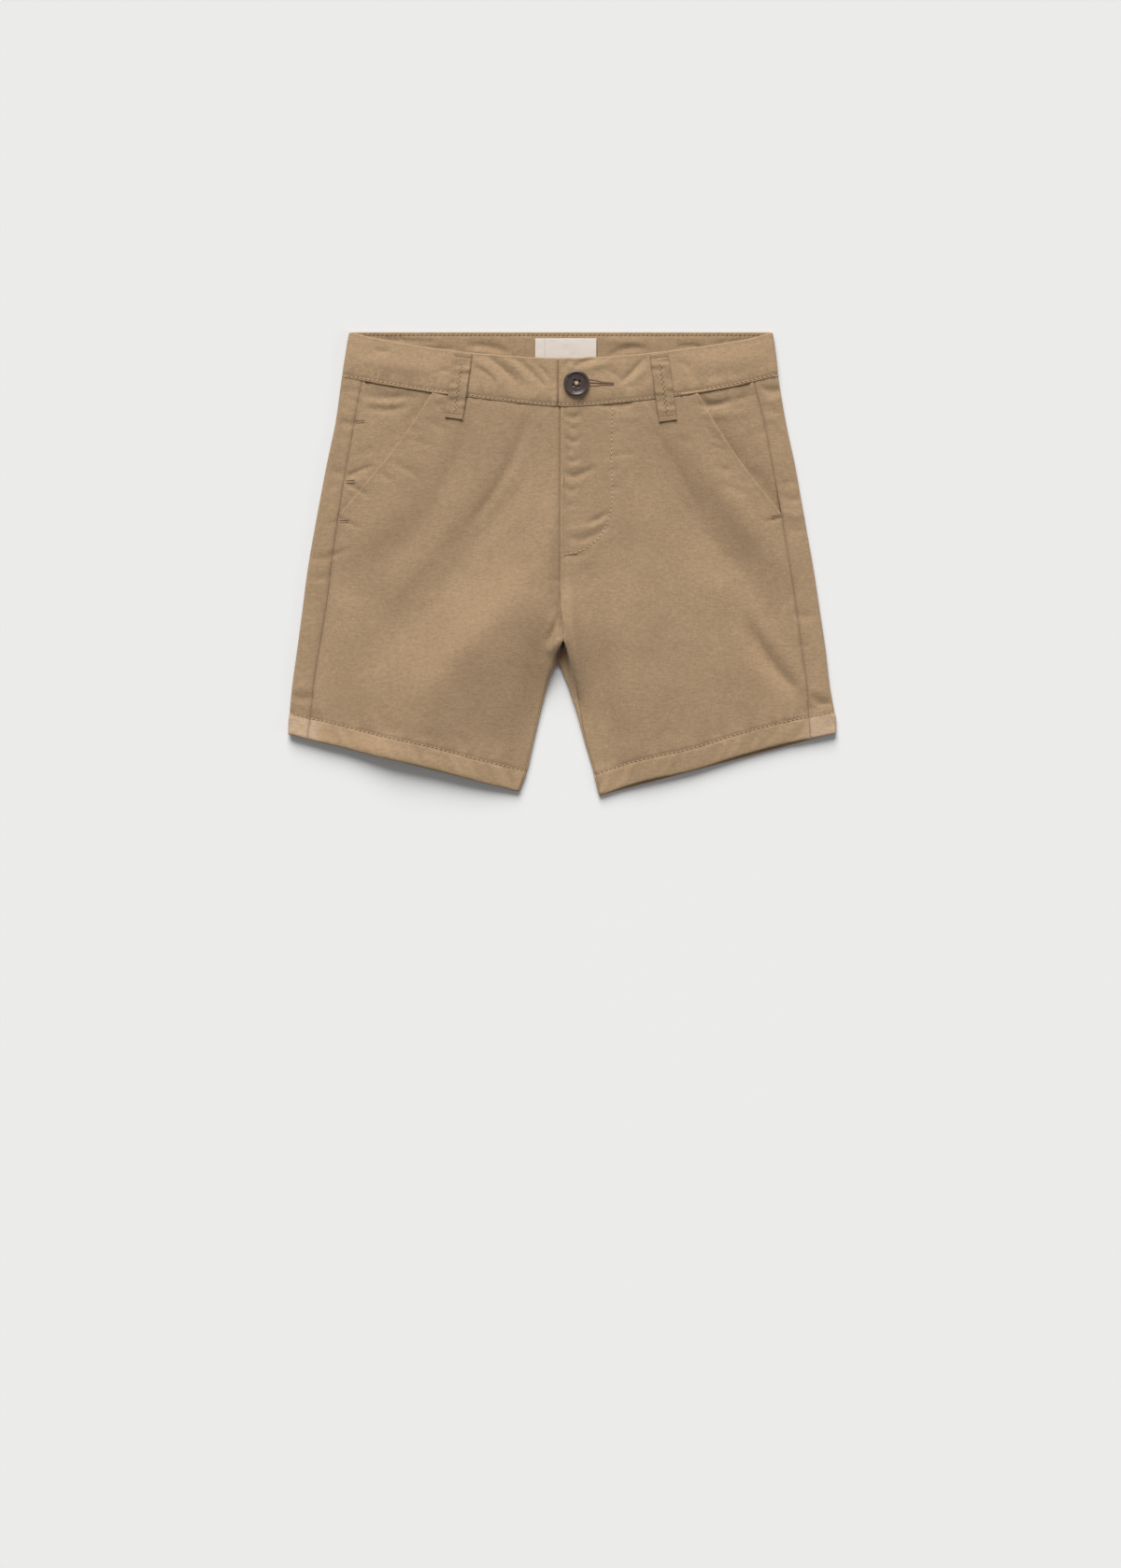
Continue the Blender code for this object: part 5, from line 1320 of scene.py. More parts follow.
def back_band(low, high):
    """The waistband's back between its folded corners, and the face of its inside."""
    t = np.linspace(0, 1, int(BAND_WIDTH / BAND_GRID[1]))[None, :, None]
    flat = low[:, None] * (1 - t) + high[:, None] * t
    top = from_border(flat, "top")
    wall = (BAND_WALL + 0.75 * pressed(BACK_BAND_CREASES, flat[..., 0], flat[..., 1])
            - GROOVE * bell(top - BAND_STITCH, GROOVE_WIDE)
            + 0.15 * noise(flat[..., 0], 0.4 * flat[..., 1], 4.0, 71) * np.exp(-top / 6.0))
    inside = flat.copy()
    inside[..., 2] = wall
    return flat, wall, inside


def waistband(material):
    """One strip: over the left front, round the back and to the right front, its ends lapped."""
    depth = BACK_TOP - BACK_SEAM
    down = spaced([0, 1], [depth / BAND_GRID[0]], BAND_ROLL / depth, BAND_SEAM_ROLL / depth)
    down = down[:, None]
    shell = Shell()
    corners, faces = {}, {}
    edges = {"top": BAND_ROLL, "bottom": BAND_SEAM_ROLL}
    for side in SIDES:
        sign = side.sign
        fold_top, fold_low = section(side.fold, BAND_FOLD_TOP), section(side.fold, BACK_SEAM)
        fold_x = fold_top + (fold_low - fold_top) * down
        reach_x = fold_x - sign * FOLD_REACH
        end = BAND_OVERLAP_EDGE if sign > 0 else BAND_UNDERLAP
        length = abs(fold_low - end)
        across = 1 - spaced([0, 1], [length / BAND_GRID[1]], 0.0, BAND_END_ROLL / length)[None, :]
        x = end + (reach_x - end) * across
        top_y = waist("top", np.clip(x / (np.abs(fold_x) - FOLD_REACH), -1, 1))
        y = top_y + (waist("seam", across_waist(x)) + HALF_GAP - top_y) * down
        points = on_face(lambda px, py: band_face(px, py, sign < 0), x, y)
        relief = band_relief(points, 7 + sign)
        faces[sign] = shell.add(points, BAND_WALL, relief, {**edges, "right": BAND_END_ROLL},
                                flip=sign > 0)

        # round the side fold to the back
        rim = side_fold(side, fold_x[:, 0], y[:, 0], points[:, 0, 2], 0, np.pi)
        turn = (1 - np.cos(np.linspace(0, np.pi, ROUND_STEPS))) / 2
        back_y = BACK_TOP + (BACK_SEAM + HALF_GAP - BACK_TOP) * down[:, 0]
        rim[:, :, 1] = between(back_y, y[:, 0], turn)
        rim[:, -1] = points[:, 0]
        shell.add(rim, BAND_WALL, relief[:, :1] * turn, edges, flip=sign > 0)
        corners[sign] = rim[:, 0]
    flat, wall, inside = back_band(corners[-1], corners[1])
    shell.add(flat, wall, 0.0, edges, flip=True)
    return shell.piece("twill_waistband", material), faces, inside


def belt_loop(name, material):
    """Folded strip from the waistband's upper edge to below its seam, its ends turned under."""
    (top_x, top_y), (low_x, low_y) = BELT_LOOPS[name]
    length = math.hypot(low_x - top_x, low_y - top_y)
    inset_t, inset_u = LOOP_INSET[0] / length, LOOP_INSET[1] / LOOP_WIDTH
    t = spaced([0, 1], [length / LOOP_GRID[0]], inset_t, inset_t)[:, None]
    u = spaced([-0.5, 0.5], [LOOP_WIDTH / LOOP_GRID[1]], inset_u, inset_u)[None, :]
    lean = ((top_y - low_y) / length, (low_x - top_x) / length)
    x = top_x + (low_x - top_x) * t + u * LOOP_WIDTH * lean[0]
    y = top_y + (low_y - top_y) * t + u * LOOP_WIDTH * lean[1]
    above = y - waist("seam", across_waist(x))
    down = np.broadcast_to(t * length, x.shape)
    ends = np.minimum(down, length - down)
    level = body_face(x, y) + BAND_STEP * ramp(-3.0, 0.5, above) + 0.3 * ramp(-1.5, 2.0, above)
    seed = 81 if low_x < 0 else 91
    hump = (0.5 * np.sin(np.pi * t) + 0.05 * (1 - ramp(1.6, 3.6, ends))
            - 0.3 * bell(ends - LOOP_STITCHED, 0.8) + 0.28 * bell(np.abs(u) - 0.4, 0.07)
            + 0.45 * noise(0.3 * x, y, 2.6, seed) * ramp(2.0, 6.0, ends))
    points = np.stack([x, y, level + LOOP_LIFT + LOOP_WALL + hump], axis=-1)
    shell = Shell()
    outer, normals = shell.add(points, LOOP_WALL, 0.0, dict.fromkeys(BORDERS, LOOP_ROLL))
    return shell.piece(f"twill_{name}", material), outer, normals


# ---------------------------------------------------------------- thread

Stroke = namedtuple("Stroke", "centre along up length radius")

# Kinds of stitches, and of the dark strands painted as shade in the needle holes between them and
# in the buttonhole's slit
Stitch = namedtuple("Stitch", "pitch length radius sink")
SEAM_STITCH = Stitch(STITCH_PITCH, 1.6, 0.25, 0.25)
UNDER_STITCH = Stitch(STITCH_PITCH, 1.6, 0.25, 0.9)
FLY_STITCH = Stitch(2.6, 1.7, 0.25, 0.25)
LOOP_STITCH = Stitch(2.8, 1.7, 0.24, 0.4)
LOOP_END_STITCH = Stitch(1.0, 1.3, 0.22, 0.3)
SEAM_PAINTED_PIT = Stitch(STITCH_PITCH, 1.0, 0.34, 0.72)
FLY_PAINTED_PIT = Stitch(2.6, 0.6, 0.2, 0.72)
LOOP_PAINTED_PIT = Stitch(2.8, 0.7, 0.26, 0.72)
SLIT_PAINTED_SHADE = Stitch(0.9, 1.5, 0.3, 0.7)
TACK_PITCH = 0.42


def strokes_mesh(name, strokes, material):
    """Joins stitches, each a small rounded strand that dips at its ends, into one mesh."""
    rings, around = 5, 6
    t = np.linspace(-0.86, 0.86, rings)
    a = np.linspace(0, 2 * np.pi, around, endpoint=False)
    radius = np.sqrt(1 - (0.9 * t)**2)
    ring = np.stack([np.broadcast_to(t[:, None] / 2, (rings, around)),
                     radius[:, None] * np.cos(a),
                     radius[:, None] * np.sin(a) - 0.8 * t[:, None]**2], axis=-1).reshape(-1, 3)
    form = np.vstack([ring, [(-0.5, 0, -0.8), (0.5, 0, -0.8)]])
    low, high = rings * around, rings * around + 1
    faces = [(r * around + k, r * around + (k + 1) % around,
              (r + 1) * around + (k + 1) % around, (r + 1) * around + k)
             for r in range(rings - 1) for k in range(around)]
    faces += [(low, (k + 1) % around, k) for k in range(around)]
    last = (rings - 1) * around
    faces += [(high, last + k, last + (k + 1) % around) for k in range(around)]
    points, all_faces = [], []
    for n, s in enumerate(strokes):
        along = s.along / np.linalg.norm(s.along)
        aside = np.cross(s.up, along)
        aside /= np.linalg.norm(aside)
        up = np.cross(along, aside)
        points.append(s.centre + form[:, :1] * s.length * along
                      + form[:, 1:2] * s.radius * aside + form[:, 2:] * s.radius * up)
        all_faces += [tuple(v + n * len(form) for v in f) for f in faces]
    points = np.vstack(points)
    points[:, 2] = np.maximum(points[:, 2], 0.0)
    return mesh_object(name, points, all_faces, material)


def stitched(path, ups, kind=SEAM_STITCH):
    """Stitches at an even pitch along a path that lies on the cloth."""
    run = run_along(path)
    at = np.arange(kind.pitch / 2, run[-1], kind.pitch)
    centre, ahead, behind = (read_at(at + step, run, path) for step in (0.0, 0.4, -0.4))
    up = read_at(at, run, ups)
    up /= np.linalg.norm(up, axis=1, keepdims=True)
    return [Stroke(c + u * kind.radius * (1 - kind.sink), f - b, u, kind.length, kind.radius)
            for c, u, f, b in zip(centre, up, ahead, behind)]


def painted_shade_pits(path, ups, kind=SEAM_PAINTED_PIT):
    """Painted shade in the needle holes between the stitches: short dark strands drawn down into
    the cloth.
    """
    run = run_along(path)
    first = int(np.interp(kind.pitch / 2, run, np.arange(len(run))))
    return stitched(path[first:], ups[first:], kind)


def line_in(outer, normals, far, distance):
    """Path through a grid at a given distance from a border: one point in each column."""
    path, ups = [], []
    for j in range(outer.shape[1]):
        order = np.argsort(far[:, j])
        d = far[order, j]
        path.append([np.interp(distance, d, outer[order, j, k]) for k in range(3)])
        ups.append([np.interp(distance, d, normals[order, j, k]) for k in range(3)])
    return np.array(path), np.array(ups)


def laid_on(face, points, step=0.3, fine=0.8):
    """Path over a face through plan points, with the face's normals."""
    points = np.array(points, float)
    run = run_along(points)
    at = np.linspace(0, run[-1], max(int(run[-1] / fine), 2))
    x, y = smooth(run, points[:, 0], at), smooth(run, points[:, 1], at)
    slope_x = (face(x + step, y) - face(x - step, y)) / (2 * step)
    slope_y = (face(x, y + step) - face(x, y - step)) / (2 * step)
    ups = np.stack([-slope_x, -slope_y, np.ones_like(x)], axis=-1)
    return np.stack([x, y, face(x, y)], axis=-1), ups / np.linalg.norm(ups, axis=1, keepdims=True)


def bartack(face, centre, turn, length, width):
    """Close strokes across a short bar, as a bar of zigzag stitches."""
    c, s = math.cos(math.radians(turn)), math.sin(math.radians(turn))
    half = length / 2
    path, ups = laid_on(face, [(centre[0] - half * c, centre[1] - half * s),
                               (centre[0] + half * c, centre[1] + half * s)], fine=TACK_PITCH)
    strokes = []
    for k, (p, up) in enumerate(zip(path, ups)):
        lean = 0.35 if k % 2 else -0.35
        across = np.array([-s + lean * c, c + lean * s, 0.0])
        across -= up * across.dot(up)
        strokes.append(Stroke(p + 0.16 * up, across, up, width, 0.24))
    return strokes


# The buttonhole from where it comes out under the button: x, and the rows' distance from the slit
BUTTONHOLE = [(15.5, 1.9), (20.0, 1.5), (23.0, 0.9), (29.5, 0.55)]
SLIT_Y = 106.4
SLIT_SLOPE = -0.05
BUTTONHOLE_LIFT = 0.38  # over the waistband's form, whose relief isn't in it


def buttonhole(face):
    """Zigzag rows on both sides of a slit that starts under the button, and the bar at its end."""
    def slit_y(x):
        return SLIT_Y + SLIT_SLOPE * x

    strokes = []
    for sign in (1, -1):
        path, ups = laid_on(face, [(x, slit_y(x) + sign * far) for x, far in BUTTONHOLE],
                            fine=TACK_PITCH)
        for k, (p, up) in enumerate(zip(path, ups)):
            lean = 0.25 if k % 2 else -0.25
            strokes.append(Stroke(p + 0.12 * up, np.array([lean, 1.0, 0.0]), up, 1.15, 0.21))
    path, ups = laid_on(face, [(x, slit_y(x)) for x, _ in BUTTONHOLE])
    # The slit drawn as dark sunk strands, painted shade.
    slit = stitched(path, ups, SLIT_PAINTED_SHADE)
    end = BUTTONHOLE[-1][0]
    strokes += bartack(face, (end + 0.3, slit_y(end)), 90, 1.3, 0.9)
    return strokes, slit


# ---------------------------------------------------------------- button and label


def spun(name, profile, centre, steps, material):
    """Solid of revolution round the upright axis through centre."""
    work = bmesh.new()
    verts = [work.verts.new((px * MM, 0.0, pz * MM)) for px, pz in profile]
    edges = [work.edges.new(pair) for pair in zip(verts, verts[1:])]
    bmesh.ops.spin(work, geom=verts + edges, cent=(0, 0, 0), axis=(0, 0, 1),
                   angle=2 * math.pi, steps=steps, use_merge=True)
    bmesh.ops.remove_doubles(work, verts=work.verts, dist=1e-6)
    bmesh.ops.recalc_face_normals(work, faces=work.faces)
    mesh = bpy.data.meshes.new(name)
    work.to_mesh(mesh)
    work.free()
    mesh.shade_smooth()
    mesh.materials.append(material)
    piece = bpy.data.objects.new(name, mesh)
    piece.location = [c * MM for c in centre]
    bpy.context.scene.collection.objects.link(piece)
    return piece


# The button's profile: radius and height as shares of the whole
BUTTON_DISH = 0.615
BUTTON_PROFILE = [
    (0.0, 0.0), (0.7, 0.0), (0.9, 0.16), (0.965, 0.34), (0.995, 0.52), (1.0, 0.66),
    (0.985, 0.82), (0.955, 0.93), (0.91, 0.99), (0.87, 1.0), (0.83, 0.975), (0.79, 0.9),
    (0.76, 0.79), (0.735, 0.7), (0.7, 0.655), (0.6, 0.64), (0.4, 0.62), (0.2, BUTTON_DISH),
    (0.0, BUTTON_DISH),
]


def bored(disc, seat, material):
    """Cuts the four sewing holes, a little wider at the top."""
    (x, y), r, h = BUTTON_CENTRE, BUTTON_HOLE_RADIUS, BUTTON_HEIGHT
    pin = [(0.0, -h), (r, -h), (r, 0.08 * h), (1.25 * r, 0.2 * h), (1.25 * r, h), (0.0, h)]
    cutters = []
    for k in range(4):
        angle = BUTTON_TURN + k * math.pi / 2
        place = (x + BUTTON_HOLE_SPREAD * math.cos(angle), y + BUTTON_HOLE_SPREAD * math.sin(angle))
        cutters.append(spun(f"cutter_{k}", pin, (*place, seat + h / 2), 20, material))
        cut = disc.modifiers.new(f"hole_{k}", "BOOLEAN")
        cut.operation = "DIFFERENCE"
        cut.object = cutters[-1]
    done = bpy.data.meshes.new_from_object(disc.evaluated_get(
        bpy.context.evaluated_depsgraph_get()))
    disc.modifiers.clear()
    disc.data = done
    for cutter in cutters:
        bpy.data.objects.remove(cutter)
    disc.data.transform(disc.matrix_world)
    disc.matrix_world.identity()
    disc.location = (0, 0, 0)


def button_strokes(top):
    """Three strands each way, crossed over the button's middle."""
    strokes = []
    for turn in (0, 1):
        angle = BUTTON_TURN + turn * math.pi / 2
        along = np.array([math.cos(angle), math.sin(angle), 0.0])
        aside = np.array([-along[1], along[0], 0.0])
        for k in (-1, 0, 1):
            centre = np.array([*BUTTON_CENTRE, top + 0.1 + 0.22 * turn]) + aside * 0.3 * k
            strokes.append(Stroke(centre, along + 0.08 * k * aside, np.array([0, 0, 1.0]),
                                  2 * BUTTON_HOLE_SPREAD - 0.9, 0.24))
    return strokes


def button(material, thread):
    """Four-hole button with a raised rim and a dished middle, sewn on with pale thread."""
    x, y = BUTTON_CENTRE
    ring = np.linspace(0, 2 * np.pi, 24)
    seat = float(np.max(band_face(x + BUTTON_RADIUS * np.cos(ring),
                                  y + BUTTON_RADIUS * np.sin(ring))))
    seat = max(seat, float(band_face(np.array([x]), np.array([y]))[0])) + 0.3
    profile = [(px * BUTTON_RADIUS, pz * BUTTON_HEIGHT) for px, pz in BUTTON_PROFILE]
    disc = spun("button_disc", profile, (x, y, seat), 96, material)
    bored(disc, seat, material)
    strokes = button_strokes(seat + BUTTON_DISH * BUTTON_HEIGHT)
    return disc, strokes_mesh("button_thread", strokes, thread)


def label(material, inside):
    """Plain woven label on the inside of the back waistband, a little wavy."""
    inset_u, inset_t = LABEL_ROLL / LABEL_WIDTH, LABEL_ROLL / LABEL_DEPTH
    u = spaced([-0.5, 0.5], [LABEL_GRID[0]], inset_u, inset_u)[None, :]
    t = spaced([0, 1], [LABEL_GRID[1]], inset_t, inset_t)[:, None]
    x, y = np.broadcast_arrays(LABEL_CENTRE_X + LABEL_WIDTH * u,
                               LABEL_TOP + (LABEL_BOTTOM - LABEL_TOP) * t)
    lift = (0.25 * noise(x, y, 9.0, 101) + 0.12 * noise(x, y, 4.0, 102)
            - 0.18 * bell(x - LABEL_CENTRE_X + LABEL_WIDTH * 0.3, 0.5))
    height = float(inside.max()) + LABEL_WALL + 0.3
    points = np.stack([x, y, height + lift], axis=-1)
    shell = Shell()
    shell.add(points, LABEL_WALL, 0.0, dict.fromkeys(BORDERS, LABEL_ROLL))
    return shell.piece("woven_label", material)


# ---------------------------------------------------------------- materials

TWILL_DARK = (0.320, 0.2105, 0.117)
TWILL_LIGHT = (0.399, 0.275, 0.163)
# paler twill painted on the hems' outer corners, a painted highlight
TWILL_PAINTED_HIGHLIGHT = (0.47, 0.34, 0.235)
TWILL_SLANT = math.radians(58)
BUTTON_DARK = (0.034, 0.023, 0.021)
BUTTON_LIGHT = (0.088, 0.060, 0.053)
LABEL_DARK = (0.64, 0.57, 0.50)
LABEL_LIGHT = (0.77, 0.70, 0.64)
LABEL_THREAD = (0.35, 0.27, 0.24)
LABEL_LINE_X = -10.4
LABEL_LINE_WIDE = 0.4

Thread = namedtuple("Thread", "name dark light")
THREADS = {
    "seams": Thread("khaki thread", (0.37, 0.26, 0.155), (0.52, 0.38, 0.25)),
    "tacks": Thread("tack thread", (0.26, 0.17, 0.10), (0.38, 0.26, 0.165)),
    "buttonhole": Thread("brown thread", (0.2, 0.115, 0.07), (0.32, 0.2, 0.13)),
    # painted shade: the dark strands in the needle holes and the buttonhole's slit
    "holes": Thread("needle holes", (0.10, 0.055, 0.03), (0.16, 0.095, 0.055)),
    "fly": Thread("pale thread", (0.46, 0.33, 0.215), (0.64, 0.48, 0.34)),
}


class Nodes:
    """Small helper that adds linked shader nodes to a material."""

    def __init__(self, name):
        self.material = bpy.data.materials.new(name)
        self.material.use_nodes = True
        self.tree = self.material.node_tree
        self.shader = self.tree.nodes["Principled BSDF"]

    def add(self, kind, inputs=(), **settings):
        node = self.tree.nodes.new(kind)
        for key, value in settings.items():
            setattr(node, key, value)
        for key, value in dict(inputs).items():
            if isinstance(value, bpy.types.NodeSocket):
                self.tree.links.new(value, node.inputs[key])
            else:
                node.inputs[key].default_value = value
        return node

    def math(self, operation, a, b=0.0):
        return self.add("ShaderNodeMath", {0: a, 1: b}, operation=operation).outputs[0]

    def mix(self, share, a, b, blend="MIX"):
        node = self.add("ShaderNodeMix", data_type="RGBA", blend_type=blend)
        for socket, value in ((node.inputs[0], share), (node.inputs[6], a), (node.inputs[7], b)):
            if isinstance(value, bpy.types.NodeSocket):
                self.tree.links.new(value, socket)
            else:
                socket.default_value = value if np.isscalar(value) else (*value, 1.0)
        return node.outputs[2]

    def wave(self, place, scale, distortion, direction="X", **more):
        return self.add("ShaderNodeTexWave", {"Vector": place, "Scale": scale,
                                              "Distortion": distortion, **more},
                        wave_type="BANDS", bands_direction=direction).outputs["Fac"]

    def sum_of(self, a, share_a, b, share_b):
        return self.math("ADD", self.math("MULTIPLY", a, share_a),
                         self.math("MULTIPLY", b, share_b))

    def spread(self, value, low, high, darkest, palest):
        return self.add("ShaderNodeMapRange", {"Value": value, 1: low, 2: high, 3: darkest,
                                               4: palest}).outputs[0]

    def noise(self, place, scale, detail=2.0, roughness=0.5):
        return self.add("ShaderNodeTexNoise", {"Vector": place, "Scale": scale, "Detail": detail,
                                               "Roughness": roughness}).outputs["Fac"]

    def place(self, turn=(0, 0, 0), stretch=(1, 1, 1)):
        source = self.add("ShaderNodeTexCoord").outputs["Object"]
        return self.add("ShaderNodeMapping", {"Vector": source, "Rotation": turn,
                                              "Scale": stretch}).outputs["Vector"]

    def finish(self, colour, roughness, bump=None, strength=0.3, distance=0.0002, **plain):
        link = self.tree.links.new
        for value, socket in ((colour, "Base Color"), (roughness, "Roughness")):
            if isinstance(value, bpy.types.NodeSocket):
                link(value, self.shader.inputs[socket])
            else:
                self.shader.inputs[socket].default_value = value
        if bump is not None:
            node = self.add("ShaderNodeBump", {"Height": bump, "Strength": strength,
                                               "Distance": distance})
            link(node.outputs["Normal"], self.shader.inputs["Normal"])
        for key, value in plain.items():
            self.shader.inputs[key.replace("_", " ")].default_value = value
        return self.material


def twill(name, turn=0.0):
    """Brushed cotton twill: diagonal ribs, fibre grain, soft mottling; paler where raised (wear),
    darker in grooves (painted shade), paler hem corners (painted highlight).
    """
    n = Nodes(name)
    flat = n.place()
    slant_turn = (0, 0, TWILL_SLANT + turn)
    ribs = n.wave(n.place(turn=slant_turn), 430.0, 1.4, **{"Detail": 1.0, "Detail Scale": 2.5})
    threads = n.noise(n.place(turn=slant_turn, stretch=(1, 0.25, 1)), 1500.0)
    grain = n.noise(flat, 900.0, 3.0, 0.6)
    cloud = n.noise(flat, 38.0, 4.0, 0.55)
    mottle = n.noise(flat, 140.0, 3.0, 0.6)
    slub = n.noise(n.place(turn=(0, 0, 0.06 + turn), stretch=(0.3, 1, 1)), 950.0)
    worn, pale = (n.add("ShaderNodeAttribute", attribute_name=key).outputs["Fac"]
                  for key in ("worn", "pale"))

    base = n.mix(cloud, TWILL_DARK, TWILL_LIGHT)
    base = n.mix(n.math("MULTIPLY", mottle, 0.35), base, TWILL_LIGHT)
    # Painted highlight: the hems' outer corners are mixed towards paler cloth.
    painted_highlight = n.math("MULTIPLY", pale, n.math("ADD", n.math("MULTIPLY", mottle, 0.8), 0.25))
    base = n.mix(painted_highlight, base, TWILL_PAINTED_HIGHLIGHT)
    shade = n.spread(n.sum_of(ribs, 0.45, threads, 0.55), 0.25, 0.75, 0.87, 1.11)
    speck = n.spread(n.sum_of(grain, 0.5, slub, 0.5), 0.35, 0.65, 0.85, 1.14)
    # Paler where the sewn relief is raised (wear) and darker in its grooves and dips (painted
    # shade).
    edge = n.spread(worn, -0.4, 0.4, 0.86, 1.12)
    total = n.math("MULTIPLY", n.math("MULTIPLY", shade, speck), edge)
    grey = n.add("ShaderNodeCombineXYZ", {0: total, 1: total, 2: total}).outputs[0]
    colour = n.mix(1.0, base, grey, "MULTIPLY")
    bump = n.math("ADD", n.math("MULTIPLY", ribs, 0.5), n.sum_of(threads, 0.5, grain, 0.6))
    return n.finish(colour, 0.92, bump, 0.35, 0.00012, Sheen_Weight=0.12, Sheen_Roughness=0.6,
                    Specular_IOR_Level=0.15)


def thread_material(name, dark, light):
    """Sewing thread: two plies that wind round each other, with a faint gloss."""
    n = Nodes(name)
    ply = n.wave(n.place(turn=(0, 0, 0.6)), 900.0, 3.0)
    tint = n.noise(n.place(), 300.0)
    colour = n.mix(n.sum_of(ply, 0.5, tint, 0.5), dark, light)
    return n.finish(colour, 0.6, ply, 0.3, 0.00008, Sheen_Weight=0.1, Specular_IOR_Level=0.3)


def button_plastic():
    """Dark brown polyester with faint lighter streaks and a satin polish."""
    n = Nodes("button plastic")
    streak = n.noise(n.place(stretch=(1, 0.35, 1)), 420.0, 4.0, 0.6)
    colour = n.mix(streak, BUTTON_DARK, BUTTON_LIGHT)
    rough = n.spread(n.noise(n.place(), 900.0), 0.0, 1.0, 0.16, 0.3)
    return n.finish(colour, rough, streak, 0.08, 0.00005, Specular_IOR_Level=0.7)


def label_weave():
    """Off-white woven tape: fine upright ribs across fine picks, and its sewn line at one end."""
    n = Nodes("label weave")
    ribs = n.wave(n.place(), 620.0, 0.4)
    picks = n.wave(n.place(), 820.0, 0.5, "Y")
    weave = n.math("MULTIPLY", ribs, picks)
    colour = n.mix(n.sum_of(weave, 0.5, n.noise(n.place(), 180.0), 0.5), LABEL_DARK, LABEL_LIGHT)
    across = n.add("ShaderNodeSeparateXYZ", {0: n.place()}).outputs["X"]
    off_line = n.math("ABSOLUTE", n.math("SUBTRACT", across, LABEL_LINE_X * MM))
    line = n.math("LESS_THAN", off_line, LABEL_LINE_WIDE * MM / 2)
    colour = n.mix(n.math("MULTIPLY", line, 0.35), colour, LABEL_THREAD)
    return n.finish(colour, 0.75, weave, 0.25, 0.00008, Sheen_Weight=0.1)


# ---------------------------------------------------------------- build

CLOTH_SLOT = "twill"
FRONT_TURN = 0.04       # how far each piece's weave is turned
FACING_TURN = 0.1
BAND_TURN = math.radians(90)

# Bar tacks at the fly and at the ends of the pocket mouths
Tack = namedtuple("Tack", "face place turn length width")
TACKS = [
    Tack("front_left", (5.0, 5.4), 8, 7.0, 1.5),
    Tack("front_left", (0.9, 48.0), 88, 5.2, 0.8),
    Tack("facing_right", (-118.8, 84.2), 3, 4.6, 0.7),
    Tack("facing_right", (-118.6, 82.9), 3, 4.6, 0.7),
    Tack("facing_right", (-124.6, 49.0), 3, 4.6, 0.7),
    Tack("facing_right", (-124.4, 47.6), 3, 4.6, 0.7),
    Tack("front_right", (-128.4, 25.6), 4, 4.6, 0.7),
    Tack("front_right", (-128.3, 24.2), 4, 4.6, 0.7),
    Tack("front_left", (125.4, 28.2), 4, 4.6, 0.7),
    Tack("front_left", (125.2, 26.9), 4, 4.6, 0.7),
]


class Sewing:
    """Stitches, and the dark strands painted as shade in needle holes and the buttonhole's slit,
    gathered while the pieces are made.
    """

    def __init__(self):
        self.lines = {"front_right": [], "front_left": [], "waistband": []}
        self.holes = []
        self.threads = {key: thread_material(*row) for key, row in THREADS.items()}

    def sew(self, name, path, ups):
        self.lines[name] += stitched(path, ups)
        self.holes += painted_shade_pits(path, ups)

    def mesh(self, name, strokes, thread):
        return strokes_mesh(name, strokes, self.threads[thread])


def leg_pieces(side, sewing):
    """Front, back and pocket facing of one side, with the stitches of their hems."""
    name, made = side.name, {}
    made[f"front_{name}"], outer, normals = front(
        side, twill(f"twill front {name}", FRONT_TURN * side.sign))
    sewing.sew(f"front_{name}", *line_in(outer, normals, from_border(outer, "bottom"), HEM_DEPTH))
    made[f"back_{name}"], strip, under = back(side, twill(f"twill back {name}"))
    sewn = []
    for (grid, up), kind in ((strip, SEAM_STITCH), (under, UNDER_STITCH)):
        path, ups = line_in(grid, up, from_border(grid, "bottom"), HEM_DEPTH)
        sewn += stitched(path, ups, kind)
        sewing.holes += painted_shade_pits(path, ups)
    made[f"stitches_back_{name}"] = sewing.mesh(f"stitches_back_{name}", sewn, "seams")
    made[f"facing_{name}"] = pocket_facing(side, twill(f"twill facing {name}", FACING_TURN))
    return made


def sewn_waistband(sewing):
    """The waistband, stitched along its seam and along the top of its inside."""
    band, faces, inside = waistband(twill("twill waistband", BAND_TURN))
    for sign, (outer, normals) in faces.items():
        path, ups = line_in(outer, normals, from_border(outer, "bottom"), BAND_STITCH)
        shown = path[:, 0] < BAND_OVERLAP_EDGE - 0.5 if sign < 0 else slice(None)
        sewing.sew("waistband", path[shown], ups[shown])
    up = np.zeros_like(inside)
    up[..., 2] = 1.0
    sewing.sew("waistband", *line_in(inside, up, from_border(inside, "top"), BAND_STITCH))
    return band, inside


def fly_and_tacks(sewing):
    """The fly's curved stitching and the buttonhole as meshes, and the strokes of the tacks."""
    right, left = SIDES
    faces = {"front_right": front_face(right), "front_left": front_face(left),
             "facing_right": facing_face(right)}
    path, ups = laid_on(faces["front_left"], FLY_GROOVE[0].points)
    made = {"stitches_fly": sewing.mesh("stitches_fly", stitched(path, ups, FLY_STITCH), "fly")}
    sewing.holes += painted_shade_pits(path, ups, FLY_PAINTED_PIT)
    tacks = []
    for tack in TACKS:
        tacks += bartack(faces[tack.face], tack.place, tack.turn, tack.length, tack.width)
    rows, slit = buttonhole(lambda x, y: band_face(x, y) + BUTTONHOLE_LIFT)
    # The slit's dark strands, painted shade, go with those of the needle holes.
    sewing.holes += slit
    made["stitches_buttonhole"] = sewing.mesh("stitches_buttonhole", rows, "buttonhole")
    return made, tacks


